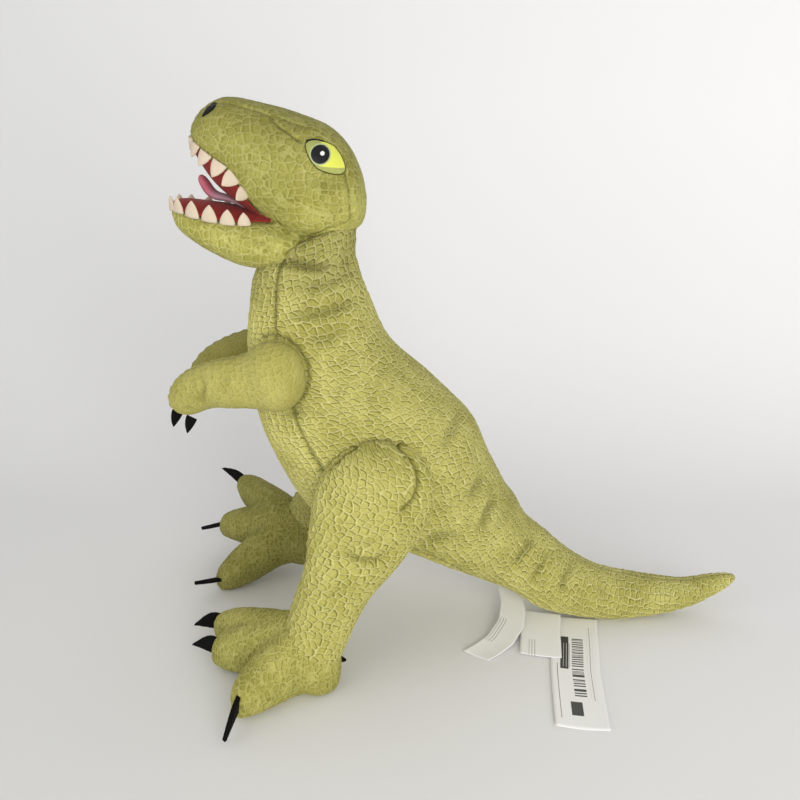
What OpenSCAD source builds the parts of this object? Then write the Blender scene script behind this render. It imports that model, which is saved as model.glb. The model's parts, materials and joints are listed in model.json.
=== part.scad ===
// Stuffed dinosaur: plush fabric skins sewn over soft stuffing, with felt claws, teeth and tongue.
// It stands on two feet and rests its tail on the floor. +Z is up, the nose points towards -X,
// and the animal's left side is towards -Y. The origin is under the middle of the whole toy.

/* [Fabric] */
// Thickness of the plush fabric
fabric = 1.5; // [1:0.1:2]
// Gap left between a skin and its stuffing, and between two pieces at a seam
gap = 0.3; // [0.2:0.05:0.5]
// Thickness of the felt in the claws and the tongue
felt = 2.6; // [2:0.1:3.5]

/* [Torso and tail] */
// Widest width across the belly
torso_width = 120; // [100:1:144]
// Width of the neck at the head seam
neck_width = 66; // [55:1:79]
// Width of the tail where it leaves the torso
tail_root_width = 72; // [60:1:80]
// Length of the tail from its root to its tip
tail_length = 191; // [160:1:240]

/* [Head] */
// Widest width of the head, behind the eyes
head_width = 87; // [72:1:105]
// Widest width of the lower jaw
jaw_width = 72; // [60:1:84]
// Length of the eye patch
eye_length = 31; // [24:1:36]
// Height of the largest teeth
tooth_height = 10.5; // [8:0.5:13]
// Width of a tooth at its root
tooth_width = 7.5; // [6:0.5:9]
// Width of the tongue
tongue_width = 12; // [9:0.5:16]

/* [Arms] */
// Diameter of the round shoulder where an arm is sewn on
shoulder_size = 52; // [44:1:58]
// Thickness of the forearm
forearm_size = 31; // [25:1:36]

/* [Legs] */
// Front-to-back size of the thigh
thigh_size = 82; // [70:1:90]
// Thickness of the shin
shin_size = 52; // [44:1:58]
// Thickness of the ankle
ankle_size = 46; // [39:1:52]

/* [Feet] */
// Length of a toe from the middle of the foot to the end of its fabric
toe_length = 80; // [66:1:96]
// Width of a toe
toe_width = 38; // [32:1:44]
// Height of the foot over the toes
foot_height = 37; // [31:1:42]
// Length of a claw beyond its toe
claw_length = 21; // [16:1:26]

/* [Sewn-in labels] */
// Width of the long care label
label_width = 36; // [30:1:44]
// Thickness of the label ribbon
label_thickness = 0.6; // [0.4:0.1:1]

/* [Joints] */
// Travel of the head, up and down
nod_travel = 8; // [4:1:10]
// Travel of the jaw when it is pulled open
jaw_open = 6; // [2:1:8]
// Travel of the jaw when it is pressed shut
jaw_shut = 4; // [2:1:5]
// Travel of each ankle, up and down
ankle_travel = 8; // [4:1:10]
// Travel of the tail, to each side
wag_travel = 12; // [6:1:14]

/* [Hidden] */

LEFT = -1;
RIGHT = 1;
GREEN = "#bcb66c";
DARK_GREEN = "#aaa75b";
RED = "#6e2a22";
PINK = "#a8606a";
BONE = "#d9cbb6";
BLACK = "#101010";
WHITE = "#e8e7e4";
YELLOW = "#dcd86a";
STUFFING = "#efece2";

// The toy is drawn round its spine, then moved so that the origin is under its middle.
stand_x = 5.4;
stand_y = 7.3;
big = 400;
clear = 0.5;
segments = 20;
limb_segments = 14;
toe_segments = 10;
// Flat facets cut inside a true curve by up to this much, so a core is drawn in by it as well.
chord = 0.8;
skin = fabric + gap + chord;

// ---------------------------------------------------------------- curves and lofts
// A form is a list of stations. Each is [back x, back z, front x, front z, half width,
// middle y, seam angle]. Angle 0 is the back or top of a ring, 180 the belly or underside.

function catmull(a, b, c, d, t) =
    0.5 * (2 * b + (c - a) * t + (2 * a - 5 * b + 4 * c - d) * pow(t, 2) + (3 * b - a - 3 * c + d) * pow(t, 3));

function smooth(list, steps) = [
    for (i = [0 : len(list) - 2], k = [0 : steps - 1])
        catmull(list[max(i - 1, 0)], list[i], list[i + 1], list[min(i + 2, len(list) - 1)], k / steps),
    list[len(list) - 1]
];

function slice(list, first, last) = [for (i = [first : last]) list[i]];

function full(c, power = 0.9) = sign(c) * pow(abs(c), power);

function ring_point(s, t, inset = 0) =
    let (
        half = [(s[0] - s[2]) / 2, (s[1] - s[3]) / 2],
        tall = norm(half),
        k = max(tall - inset, 0.5) / tall,
        w = max(s[4] - inset, 0.5)
    )
    [
        (s[0] + s[2]) / 2 + half[0] * k * full(cos(t)),
        s[5] + w * full(sin(t)),
        (s[1] + s[3]) / 2 + half[1] * k * full(cos(t))
    ];

function quads(rings, count, closed = true) = [
    for (i = [0 : rings - 2], k = [0 : count - 1])
        let (a = i * count + k, b = i * count + (k + 1) % count)
        each [[a, b, b + count], [a, b + count, a + count]]
];

// Whether a form runs the way that would turn its faces inwards.
function backwards(stations) =
    let (
        a = stations[0],
        b = stations[len(stations) - 1],
        way = [b[0] + b[2] - a[0] - a[2], b[1] + b[3] - a[1] - a[3]]
    )
    way[1] * (a[0] - a[2]) > way[0] * (a[1] - a[3]);

function facing(faces, flip) = flip ? [for (f = faces) [f[0], f[2], f[1]]] : faces;

function middle(s) = [(s[0] + s[2]) / 2, s[5], (s[1] + s[3]) / 2];

// A station moved towards its neighbour, so that an inset form is shorter at its ends as well.
function drawn_in(s, next, inset) =
    s + (next - s) * min(0.9, max(inset, 0) / norm(middle(next) - middle(s)));

function shortened(stations, inset) =
    let (last = len(stations) - 1)
    [
        drawn_in(stations[0], stations[1], inset),
        for (i = [1 : last - 1]) stations[i],
        drawn_in(stations[last], stations[last - 1], inset)
    ];

// A closed solid through every ring, with flat ends.
module form(stations, inset = 0, sides = segments) {
    rings = shortened(stations, inset);
    points = [for (s = rings, k = [0 : sides - 1]) ring_point(s, 360 * k / sides, inset)];
    last = (len(stations) - 1) * sides;
    ends = [
        for (k = [1 : sides - 2]) each [[0, k + 1, k], [last, last + k, last + k + 1]]
    ];
    polyhedron(points, facing(concat(quads(len(stations), sides), ends), backwards(stations)));
}

// A strip of fabric along a form, between two angles. Either angle may be a station's own seam.
module panel(stations, from, to, outset = 0, thick = fabric, steps = 8) {
    count = 2 * (steps + 1);
    points = [
        for (s = stations)
            let (a = from(s), b = to(s))
            each concat(
                [for (k = [0 : steps]) ring_point(s, a + (b - a) * k / steps, -outset)],
                [for (k = [steps : -1 : 0]) ring_point(s, a + (b - a) * k / steps, thick - outset)]
            )
    ];
    last = (len(stations) - 1) * count;
    ends = [
        for (k = [0 : steps - 1])
            let (a = k, b = k + 1, c = count - 2 - k, d = count - 1 - k)
            each [[a, c, b], [a, d, c], [last + a, last + b, last + c], [last + a, last + c, last + d]]
    ];
    flip = backwards(stations) != (to(stations[0]) < from(stations[0]));
    polyhedron(points, facing(concat(quads(len(stations), count), ends), flip));
}

// A station across a path: its middle, the way the path runs, and its size.
function across(x, y, z, way, deep, wide) =
    let (n = [-way[1], way[0]] / norm(way))
    [x + n[0] * deep, z + n[1] * deep, x - n[0] * deep, z - n[1] * deep, wide, y, 115];

function along(path, i) = path[min(i + 1, len(path) - 1)] - path[max(i - 1, 0)];

// A wedge seen from the side, from one angle to another round a hinge line, as wide as the toy.
module side_wedge(pivot, from, to, reach = big) {
    steps = 12;
    translate([pivot[0], 0, pivot[1]])
        rotate([90, 0, 0])
            linear_extrude(height = big, center = true)
                polygon(concat([[0, 0]], [
                    for (k = [0 : steps])
                        let (t = from + (to - from) * k / steps)
                        reach * [cos(t), sin(t)]
                ]));
}

// ---------------------------------------------------------------- torso and tail
neck_half = neck_width / 2;
torso_half = torso_width / 2;
tail_half = tail_root_width / 2;
function between(a, b, share) = a + (b - a) * share;

torso_stations = [
    [-79, 318, -146, 285, neck_half, 0, 112],
    [-79, 292, -157, 268, between(neck_half, torso_half, 0.12), 0, 113],
    [-70, 262, -162, 246, between(neck_half, torso_half, 0.37), 0, 114],
    [-49, 229, -163, 216, between(neck_half, torso_half, 0.70), 0, 115],
    [-17, 203, -157, 172, between(neck_half, torso_half, 0.89), 0, 116],
    [6, 172, -143, 138, torso_half, 0, 117],
    [21, 140, -118, 100, torso_half, 0, 118],
    [35, 116, -75, 69, between(tail_half, torso_half, 0.81), 0, 122],
    [45, 103, -22, 42, between(tail_half, torso_half, 0.48), 0, 130]
];

// Tail: share of its length, height of its middle, and radius as a share of the root's.
tail_root = [34, 59];
tail_shape = [
    [0, 59, 1], [0.095, 48, 0.9], [0.21, 35, 0.76], [0.39, 21.5, 0.6],
    [0.595, 17, 0.475], [0.765, 19.5, 0.35], [0.895, 27, 0.25], [0.965, 32, 0.15], [1, 34.5, 0.05]
];
tail_path = [for (t = tail_shape) [tail_root[0] + t[0] * tail_length, t[1]]];
tail_root_way = [0.818, -0.576];
tail_above_floor = 0.8;
tail_stations = [
    for (i = [0 : len(tail_shape) - 1])
        let (
            r = tail_half * tail_shape[i][2],
            p = tail_path[i],
            way = i == 0 ? tail_root_way : along(tail_path, i)
        )
        across(p[0], 0, max(p[1], r + tail_above_floor), way, r, r)
];

spine_steps = 2;
spine = smooth(concat(torso_stations, tail_stations), spine_steps);
neck_ring = 2;
sleeve_ring = 14;
tail_ring = 20;
last_ring = len(spine) - 1;

neck_pivot = [-113, 303];
neck_seam = 27;
neck_slack = nod_travel / 2 + 0.6;
neck_front_slack = nod_travel + jaw_open + 1;
neck_ball = 10;

wag_pivot = [36, 0, 53];
wag_radius = tail_half - fabric - 1;

// How deep a leg and an arm are set into the torso, and the room round their roots.
hip_depth = 15;
hip = [-68, 130];
hip_y = torso_half - hip_depth;
hip_radius = thigh_size / 2 + 2;
hip_swing = 9;
// Half the angle of the room that fans out below a leg's root.
leg_spread = 28;

shoulder_depth = 16;
shoulder = [-142, 223];
shoulder_y = between(neck_half, torso_half, 0.70) - shoulder_depth;
shoulder_radius = shoulder_size / 2 + 1;

// The round pocket in the torso that a limb's flat root turns in, and the fan below it.
module limb_room(at, depth, radius, side) {
    translate([at[0], side * (depth + big / 2), at[1]])
        rotate([90, 0, 0])
            cylinder(r = radius, h = big, center = true, $fn = 48);
}

module leg_fan(side) {
    away = leg_up(side) + 180;
    apex = hip - thigh_size * 0.45 * [cos(away), sin(away)];
    translate([0, side * (hip_y + big / 2), 0])
        side_wedge(apex, away - leg_spread - hip_swing, away + leg_spread + hip_swing);
}

module torso_rooms() {
    for (side = [LEFT, RIGHT]) {
        limb_room(hip, hip_y, hip_radius + clear, side);
        limb_room(shoulder, shoulder_y, shoulder_radius + clear, side);
        leg_fan(side);
    }
}

module neck_room() {
    side_wedge(neck_pivot, neck_seam - neck_slack, 180 + neck_seam + neck_front_slack);
}

module wag_room() {
    translate(wag_pivot - [0, 0, big / 2])
        cylinder(r = wag_radius + clear, h = big, $fn = 64);
    translate([wag_pivot[0] - 9, -big / 2, -big / 2])
        cube(big);
}

module torso_stuffing() color(STUFFING) {
    difference() {
        form(slice(spine, 0, tail_ring), skin);
        neck_room();
        torso_rooms();
        wag_room();
    }
    translate([neck_pivot[0], 0, neck_pivot[1]])
        sphere(r = neck_ball, $fn = 32);
}

module side_panel(side) color(GREEN)
    difference() {
        panel(slice(spine, neck_ring, sleeve_ring), function(s) 0, function(s) side * (s[6] - 0.6));
        torso_rooms();
    }

module belly_panel() color(GREEN)
    difference() {
        panel(slice(spine, neck_ring, sleeve_ring), function(s) s[6] + 0.6, function(s) 359.4 - s[6]);
        torso_rooms();
    }

// The stretch of skin that bends as the head nods.
module neck_sleeve() color(GREEN)
    difference() {
        panel(slice(spine, 0, neck_ring), function(s) 0.5, function(s) 359.5, steps = 24);
        side_wedge(neck_pivot, neck_seam + neck_slack, 180 + neck_seam - neck_slack);
    }

// The stretch of skin that bends as the tail wags.
module tail_root_sleeve() color(GREEN)
    panel(slice(spine, sleeve_ring, tail_ring), function(s) 0.5, function(s) 359.5, steps = 24);

module tail_stuffing() color(STUFFING)
    intersection() {
        form(slice(spine, sleeve_ring, last_ring - 1), skin);
        union() {
            translate(wag_pivot - [0, 0, big / 2])
                cylinder(r = wag_radius, h = big, $fn = 64);
            translate([wag_pivot[0], -big / 2, -big / 2])
                cube(big);
        }
    }

module tail_skin(side) color(GREEN)
    panel(slice(spine, tail_ring, last_ring), function(s) side * 0.4, function(s) side * 179.6, steps = 12);

// ---------------------------------------------------------------- head
head_half = head_width / 2;
jaw_half = jaw_width / 2;

head_stations = [
    [-80, 352, -76, 332, head_half * 0.42, 0, 150],
    [-87, 366, -80, 314, head_half * 0.78, 0, 165],
    [-101, 378, -97, 305, head_half * 0.94, 0, 175],
    [-120, 387, -119, 305, head_half, 0, 172],
    [-138, 393, -141, 318, head_half * 0.97, 0, 155],
    [-155, 397, -160, 331, head_half * 0.88, 0, 116],
    [-170, 398.5, -174, 343, head_half * 0.77, 0, 112],
    [-182, 394, -183, 355, head_half * 0.63, 0, 112],
    [-188, 387, -188.5, 364, head_half * 0.45, 0, 112],
    [-191.5, 380, -191.5, 372, head_half * 0.2, 0, 112]
];
head_rings = smooth(head_stations, 2);
throat_ring = 9;
top_seam = 34;

jaw_stations = [
    [-125, 309, -128, 297, jaw_half * 0.55, 0, 60],
    [-139, 316, -144, 288, jaw_half * 0.95, 0, 62],
    [-157, 323, -163, 287, jaw_half * 0.98, 0, 63],
    [-174, 328, -180, 294, jaw_half * 0.88, 0, 63],
    [-189, 330, -194, 303, jaw_half * 0.71, 0, 63],
    [-201, 331, -204, 311, jaw_half * 0.48, 0, 63],
    [-208, 329, -208.5, 320, jaw_half * 0.2, 0, 63]
];
jaw_rings = smooth(jaw_stations, 2);
jaw_pivot = [-130, 306];
jaw_hub = 5.5;
jaw_hub_width = jaw_width * 0.6;
jaw_seam = 133;

module jaw_room(radius, width) {
    translate([jaw_pivot[0], 0, jaw_pivot[1]])
        rotate([90, 0, 0])
            cylinder(r = radius, h = width, center = true, $fn = 40);
}

module neck_socket(extra = 0)
    translate([neck_pivot[0], 0, neck_pivot[1]])
        sphere(r = neck_ball + clear + extra, $fn = 32);

module head_trim() {
    neck_socket();
    jaw_room(jaw_hub + clear, jaw_hub_width + 2 * clear);
    side_wedge(neck_pivot, 180 + neck_seam - neck_slack, 360 + neck_seam + neck_slack);
    side_wedge(jaw_pivot, jaw_seam, 300, reach = 60);
}

module head_stuffing() color(STUFFING)
    difference() {
        form(head_rings, skin);
        head_trim();
    }

module head_side(side) color(DARK_GREEN)
    difference() {
        panel(head_rings, function(s) side * (top_seam + 0.6), function(s) side * (s[6] - 0.6), steps = 9);
        head_trim();
    }

module head_top_gusset() color(DARK_GREEN)
    panel(head_rings, function(s) -top_seam + 0.3, function(s) top_seam - 0.3, steps = 5);

module upper_mouth_lining() color(RED)
    difference() {
        panel(slice(head_rings, throat_ring, len(head_rings) - 1),
            function(s) s[6] + 0.6, function(s) 359.4 - s[6], steps = 7);
        head_trim();
    }

// A patch that lies on the side of the head between two of its rings, cut to the outline in its children.
module head_patch(side, proud, first, last)
    intersection() {
        translate([0, side * 60, 0])
            rotate([90, 0, 0])
                linear_extrude(height = 110, center = true)
                    children();
        difference() {
            form(slice(head_rings, first, last), -gap - chord - proud);
            form(slice(head_rings, first - 1, last + 1), -gap - chord);
        }
    }

eye_middle = [-98.5, 360.5];
eye_tilt = -40;
module eye(side) color(YELLOW)
    head_patch(side, 1, 3, 8)
        translate(eye_middle)
            rotate(eye_tilt)
                intersection_for(up = [-1, 1])
                    translate([0, up * eye_length * 0.16])
                        circle(d = eye_length * 1.02, $fn = 40);

nostril_middle = [-174, 389];
nostril_tilt = -48;
nostril_size = [13, 6];
module nostril(side) color(BLACK)
    head_patch(side, 0.6, 11, 15)
        translate(nostril_middle)
            rotate(nostril_tilt)
                scale(nostril_size)
                    circle(d = 1, $fn = 20);

// ---------------------------------------------------------------- jaw, teeth and tongue
module jaw_trim() {
    neck_socket(2);
    side_wedge(jaw_pivot, -100, jaw_seam + jaw_shut + 1, reach = 60);
}

module jaw_stuffing() color(STUFFING) {
    difference() {
        form(jaw_rings, skin);
        jaw_trim();
    }
    jaw_room(jaw_hub, jaw_hub_width);
}

module jaw_skin() color(DARK_GREEN)
    difference() {
        panel(jaw_rings, function(s) s[6] + 0.6, function(s) 359.4 - s[6], steps = 14);
        jaw_trim();
    }

module lower_mouth_lining() color(RED)
    difference() {
        panel(jaw_rings, function(s) -s[6] + 0.6, function(s) s[6] - 0.6, steps = 8);
        jaw_trim();
    }

// One tooth on a ring of a form, leaning out from the lip and pointing up or down.
module tooth(ring, t, up, size)
    translate(ring_point(ring, t, -tooth_width * 0.2))
        rotate([up > 0 ? 0 : 180, 0, 0])
            cylinder(h = tooth_height * size, r1 = tooth_width / 2 * size, r2 = 0.8, $fn = 10);

upper_tooth_rings = [11, 12.3, 13.6, 14.9, 16.2, 17.3];
lower_tooth_rings = [4, 5.3, 6.6, 7.8, 9, 10.2];
function ring_at(rings, u) =
    let (i = floor(u), f = u - i)
    rings[i] * (1 - f) + rings[min(i + 1, len(rings) - 1)] * f;

module upper_teeth() color(BONE)
    difference() {
        for (side = [LEFT, RIGHT], u = upper_tooth_rings)
            let (ring = ring_at(head_rings, u), size = u > 16 ? 0.75 : 1)
            tooth(ring, side * (ring[6] + 3), -1, size);
        form(head_rings, -gap);
    }

module lower_teeth() color(BONE)
    difference() {
        for (side = [LEFT, RIGHT], u = lower_tooth_rings)
            let (ring = ring_at(jaw_rings, u), size = u > 9 ? 0.75 : 1)
            tooth(ring, side * (ring[6] - 3), 1, size);
        form(jaw_rings, -gap);
    }

tongue_path = smooth([
    [-163, 332.5], [-170, 335.2], [-177, 336], [-183, 335], [-187, 338.5], [-189, 344], [-191, 351]
], 2);
tongue_pivot = [-162, 332];
module tongue() color(PINK)
    form([
        for (i = [0 : len(tongue_path) - 1])
            let (end = i == 0 || i == len(tongue_path) - 1, p = tongue_path[i])
            across(p[0], 0, p[1], along(tongue_path, i), felt / 2, tongue_width / 2 * (end ? 0.7 : 1))
    ], 0, 12);

// ---------------------------------------------------------------- arms
// Path of an arm: x, distance out from the shoulder's flat root, z, and radius.
shoulder_half = shoulder_size / 2;
forearm_half = forearm_size / 2;
arm_path = [
    [-119, 14, 224, shoulder_half * 0.16], [-123, 14, 224, shoulder_half * 0.62],
    [-133, 14, 223.5, shoulder_half * 0.92], [-144, 14, 221.5, shoulder_half * 0.96],
    [-156, 12, 217.5, between(shoulder_half, forearm_half, 0.6)], [-169, 9, 214.5, forearm_half * 1.04],
    [-182, 4, 212.5, forearm_half * 0.95], [-194, -2, 208, forearm_half * 0.9],
    [-204, -6, 201, forearm_half * 0.76], [-210, -8, 194.5, forearm_half * 0.52],
    [-212, -8, 191, forearm_half * 0.2]
];
function arm_rings(side) = [
    for (i = [0 : len(arm_path) - 1])
        let (p = arm_path[i], way = [along(arm_path, i)[0], along(arm_path, i)[2]])
        across(p[0], side * (shoulder_y + p[1]), p[2], way, p[3], p[3])
];

// What an arm must stay out of: the torso inside the round seam.
module arm_root_trim(side) {
    translate([shoulder[0], side * (shoulder_y + clear - big / 2), shoulder[1]])
        rotate([90, 0, 0])
            cylinder(r = shoulder_radius + 3, h = big, center = true, $fn = 48);
}

module arm_stuffing(side) color(STUFFING)
    difference() {
        form(arm_rings(side), skin, limb_segments);
        arm_root_trim(side);
    }

module arm_skin(side) color(GREEN)
    difference() {
        form(arm_rings(side), 0, limb_segments);
        form(arm_rings(side), fabric, limb_segments);
        arm_root_trim(side);
    }

// A flat felt claw in the side view, its root at the origin and its point along -x.
module claw_outline(length, root)
    polygon([
        for (k = [0 : 6]) let (t = k / 6) [-length * t, root / 2 - root * 0.75 * t * t],
        for (k = [5 : -1 : 0]) let (t = k / 6) [-length * t, -root / 2 + root * 0.25 * pow(t, 2)]
    ]);

module claw(length, root)
    rotate([90, 0, 0])
        linear_extrude(height = felt, center = true)
            claw_outline(length, root);

// The roots of a hand's two claws: x, distance in from the shoulder's flat root, and z.
hand_claw_roots = [[-213.8, 11, 189.2], [-201.5, 2, 187.6]];
hand_claw_tilt = -62;
hand_claw_share = 0.62;
hand_claw_root = 8;
module hand_claws(side) color(BLACK)
    for (r = hand_claw_roots)
        translate([r[0], side * (shoulder_y - r[1]), r[2]])
            rotate([0, hand_claw_tilt, 0])
                claw(claw_length * hand_claw_share, hand_claw_root);

// ---------------------------------------------------------------- legs
function ankle_at(side) = side == LEFT ? [-108, -(hip_y + 40), 43] : [-133, hip_y + 30, 47];

// Thigh: shares of its half size from the hip, size front to back, size across, and distance out.
leg_shape = [
    [-1, 0.06, 0.10, 0.25], [-0.88, 0.45, 0.5, 0.25], [-0.62, 0.76, 0.75, 0.26],
    [-0.28, 0.95, 0.95, 0.28], [0.12, 1, 1, 0.32], [0.52, 0.93, 1, 0.4]
];
// Shin: shares of the way from hip to ankle, of the thigh's extra size, and of the distance out.
shin_shape = [[0.4, 0.62, 0.5], [0.58, 0.25, 0.65], [0.78, 0.1, 0.82], [1, 0, 1], [1.1, 0, 1.05]];
// Above this share of the way the leg still narrows from the thigh, and below it towards the ankle.
shin_start = 0.7;
thigh_half = thigh_size / 2;
shin_half = shin_size / 2;
ankle_half = ankle_size / 2;

function leg_rings(side) =
    let (
        foot = ankle_at(side),
        way = [foot[0] - hip[0], foot[2] - hip[1]],
        step = thigh_half / norm(way),
        out = abs(foot[1]) - hip_y
    )
    smooth(concat(
        [for (s = leg_shape) across(hip[0] + way[0] * step * s[0], side * (hip_y + out * s[3]),
            hip[1] + way[1] * step * s[0], way, thigh_half * s[1], shin_half * s[2])],
        [
            for (s = shin_shape)
                let (upper = s[0] < shin_start, thin = between(ankle_half, shin_half, (1 - s[0]) * 2))
                across(hip[0] + way[0] * s[0], side * (hip_y + out * s[2]), hip[1] + way[1] * s[0], way,
                    upper ? between(shin_half, thigh_half, s[1]) : thin, upper ? shin_half : thin)
        ]
    ), 1);

// The way up a leg from its ankle, as an angle in the side view.
function leg_up(side) = atan2(hip[1] - ankle_at(side)[2], hip[0] - ankle_at(side)[0]);
ankle_slack = ankle_travel / 2 + 0.6;
ankle_ball = 12;
cuff_height = 9;
cuff_below = 1.5;

module leg_root_trim(side) {
    translate([-big / 2, side == LEFT ? -hip_y - clear : -big + hip_y + clear, -big / 2])
        cube(big);
}

// Below this roof the foot begins.
module ankle_room(side) {
    side_wedge([ankle_at(side)[0], ankle_at(side)[2]], leg_up(side) + 90 - ankle_slack,
        leg_up(side) + 270 + ankle_slack);
}

module ankle_sphere(side, extra = 0)
    translate(ankle_at(side))
        sphere(r = ankle_ball + extra, $fn = 32);

module leg_stuffing(side) color(STUFFING) {
    difference() {
        form(leg_rings(side), skin, limb_segments);
        leg_root_trim(side);
        ankle_room(side);
    }
    ankle_sphere(side);
}

module leg_skin(side) color(GREEN)
    difference() {
        form(leg_rings(side), 0, limb_segments);
        form(leg_rings(side), fabric, limb_segments);
        leg_root_trim(side);
        ankle_room(side);
    }

// ---------------------------------------------------------------- feet
// Each foot's three toes: angle in from straight ahead, and length as a share of toe_length.
function toes(side) = side == LEFT
    ? [[33, 1.12], [12, 0.95], [-56, 0.76]]
    : [[30, 0.88], [-12, 0.9], [-45, 1]];
foot_back = 10;
foot_out = 6;
foot_roll = 22;
foot_lift = 3.6;

toe_shape = [
    [-0.3, 0.4, 0.5], [-0.24, 0.9, 0.85], [-0.1, 1.25, 1.1], [0.12, 1.25, 1.12], [0.3, 1.1, 1.06],
    [0.52, 1.04, 1], [0.75, 0.9, 0.88], [0.92, 0.62, 0.62], [0.99, 0.36, 0.36], [1.01, 0.1, 0.12]
];

// A toe along -x from the middle of the foot, with its underside on the floor.
function toe_rings(length) = [
    for (s = toe_shape)
        let (high = foot_height * s[2], low = (foot_height - high) * 0.16)
        [-length * s[0], low + high, -length * s[0], low - 1.2, toe_width / 2 * s[1], 0, 90]
];

// Puts a foot drawn round its own middle where it belongs. The right foot is rolled on its inner edge.
module foot_place(side) {
    at = ankle_at(side);
    translate([at[0] - foot_back, at[1] + side * foot_out, 0])
        if (side == RIGHT)
            translate([0, -20, foot_lift])
                rotate([foot_roll, 0, 0])
                    translate([0, 22, 0])
                        children();
        else
            children();
}

module each_toe(side)
    for (t = toes(side))
        rotate([0, 0, side * t[0]])
            let ($length = toe_length * t[1])
            children();

module above_floor(z)
    translate([-big / 2, -big / 2, z])
        cube(big);

module foot_form(side, inset, floor)
    intersection() {
        union()
            each_toe(side)
                form(toe_rings($length), inset, toe_segments);
        above_floor(floor);
    }

// Above this roof the leg begins. It lies a little below the ankle, to leave room for the cuff.
module foot_trim(side) {
    low = cuff_below + gap;
    side_wedge([ankle_at(side)[0], ankle_at(side)[2]] - low * [cos(leg_up(side)), sin(leg_up(side))],
        leg_up(side) - 90 - ankle_slack, leg_up(side) + 90 + ankle_slack);
}

module foot_stuffing(side) color(STUFFING)
    difference() {
        foot_place(side)
            foot_form(side, skin, skin);
        foot_trim(side);
        ankle_sphere(side, clear);
    }

module foot_skin(side) color(GREEN)
    difference() {
        foot_place(side)
            difference() {
                foot_form(side, 0, fabric + gap);
                foot_form(side, fabric, -1);
            }
        foot_trim(side);
        ankle_sphere(side, clear + skin);
    }

module sole(side) color(DARK_GREEN)
    foot_place(side)
        intersection() {
            foot_form(side, 0, 0);
            translate([0, 0, -big + fabric])
                translate([-big / 2, -big / 2, 0])
                    cube(big);
        }

// A toe's claw stands off the end of its fabric, and the short hind claw off the heel.
claw_root = 14;
claw_stand_off = 1.6;
hind_claw_root = 9;
hind_claw_place = [6, 2, 12];
module foot_claws(side) color(BLACK)
    foot_place(side) {
        each_toe(side)
            translate([-$length * 1.01 - claw_stand_off, 0, foot_height * 0.33])
                claw(claw_length, claw_root);
        translate([toe_length * 0.3 + hind_claw_place[0], side * hind_claw_place[1], hind_claw_place[2]])
            rotate([0, 0, 180])
                claw(claw_length * 0.5, hind_claw_root);
    }

// The band of skin that bends where the leg meets the foot.
module ankle_cuff(side) color(GREEN)
    difference() {
        intersection() {
            form(leg_rings(side), -gap - fabric, limb_segments);
            translate(ankle_at(side))
                rotate([0, 90 - leg_up(side), 0])
                    translate([-big / 2, -big / 2, -cuff_below])
                        cube([big, big, cuff_height]);
        }
        form(leg_rings(side), -gap, limb_segments);
    }

// ---------------------------------------------------------------- labels
// A ribbon through side-view points [x, y, z], as wide as its last argument along a level line.
function level(way) = [-way[1], way[0], 0] / norm([way[0], way[1]]);
module ribbon(path, width, edge) {
    side = edge * width / 2;
    top = [0, 0, label_thickness];
    points = [for (p = path) each [p - side, p + side, p + side + top, p - side + top]];
    last = 4 * (len(path) - 1);
    polyhedron(points, concat(
        [for (f = quads(len(path), 4)) [f[0], f[2], f[1]]],
        [[0, 1, 2], [0, 2, 3], [last, last + 2, last + 1], [last, last + 3, last + 2]]
    ));
}

module care_label() color(WHITE)
    ribbon([
        [92, -10, 1.4], [89, -24, 0.6], [85, -46, 0.1], [79, -75, 0.1], [75, -105, 0.1], [71, -137, 0.1]
    ], label_width, level([-19, -133]));

module size_label() color(WHITE)
    ribbon([[46, -4, 13], [41, -14, 9.5], [34, -26, 6], [24, -42, 2.5], [9, -64, 0.4]],
        label_width * 0.62, level([-42, -64]));

module loop_label() color(WHITE)
    ribbon([[65, -8, 5], [64, -15, 4], [61, -27, 2.8], [59, -42, 1.8], [57, -60, 1]],
        label_width, level([-12, -59]));

// ---------------------------------------------------------------- assembly
module stand()
    translate([stand_x, stand_y, 0])
        children();

stand() torso_stuffing();
stand() side_panel(LEFT);  // left_side_panel
stand() side_panel(RIGHT);  // right_side_panel
stand() belly_panel();
stand() neck_sleeve();
stand() tail_root_sleeve();
stand() tail_stuffing();
stand() tail_skin(LEFT);  // tail_skin_left
stand() tail_skin(RIGHT);  // tail_skin_right
stand() head_stuffing();
stand() head_side(LEFT);  // head_side_left
stand() head_side(RIGHT);  // head_side_right
stand() head_top_gusset();
stand() upper_mouth_lining();
stand() upper_teeth();
stand() eye(LEFT);  // eye_left
stand() eye(RIGHT);  // eye_right
stand() nostril(LEFT);  // nostril_left
stand() nostril(RIGHT);  // nostril_right
stand() jaw_stuffing();
stand() jaw_skin();
stand() lower_mouth_lining();
stand() lower_teeth();
stand() tongue();
stand() arm_stuffing(LEFT);  // left_arm_stuffing
stand() arm_skin(LEFT);  // left_arm_skin
stand() hand_claws(LEFT);  // left_hand_claws
stand() arm_stuffing(RIGHT);  // right_arm_stuffing
stand() arm_skin(RIGHT);  // right_arm_skin
stand() hand_claws(RIGHT);  // right_hand_claws
stand() leg_stuffing(LEFT);  // left_leg_stuffing
stand() leg_skin(LEFT);  // left_leg_skin
stand() leg_stuffing(RIGHT);  // right_leg_stuffing
stand() leg_skin(RIGHT);  // right_leg_skin
stand() ankle_cuff(LEFT);  // left_ankle_cuff
stand() ankle_cuff(RIGHT);  // right_ankle_cuff
stand() foot_stuffing(LEFT);  // left_foot_stuffing
stand() foot_skin(LEFT);  // left_foot_skin
stand() sole(LEFT);  // left_sole
stand() foot_claws(LEFT);  // left_foot_claws
stand() foot_stuffing(RIGHT);  // right_foot_stuffing
stand() foot_skin(RIGHT);  // right_foot_skin
stand() sole(RIGHT);  // right_sole
stand() foot_claws(RIGHT);  // right_foot_claws
stand() care_label();
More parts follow.
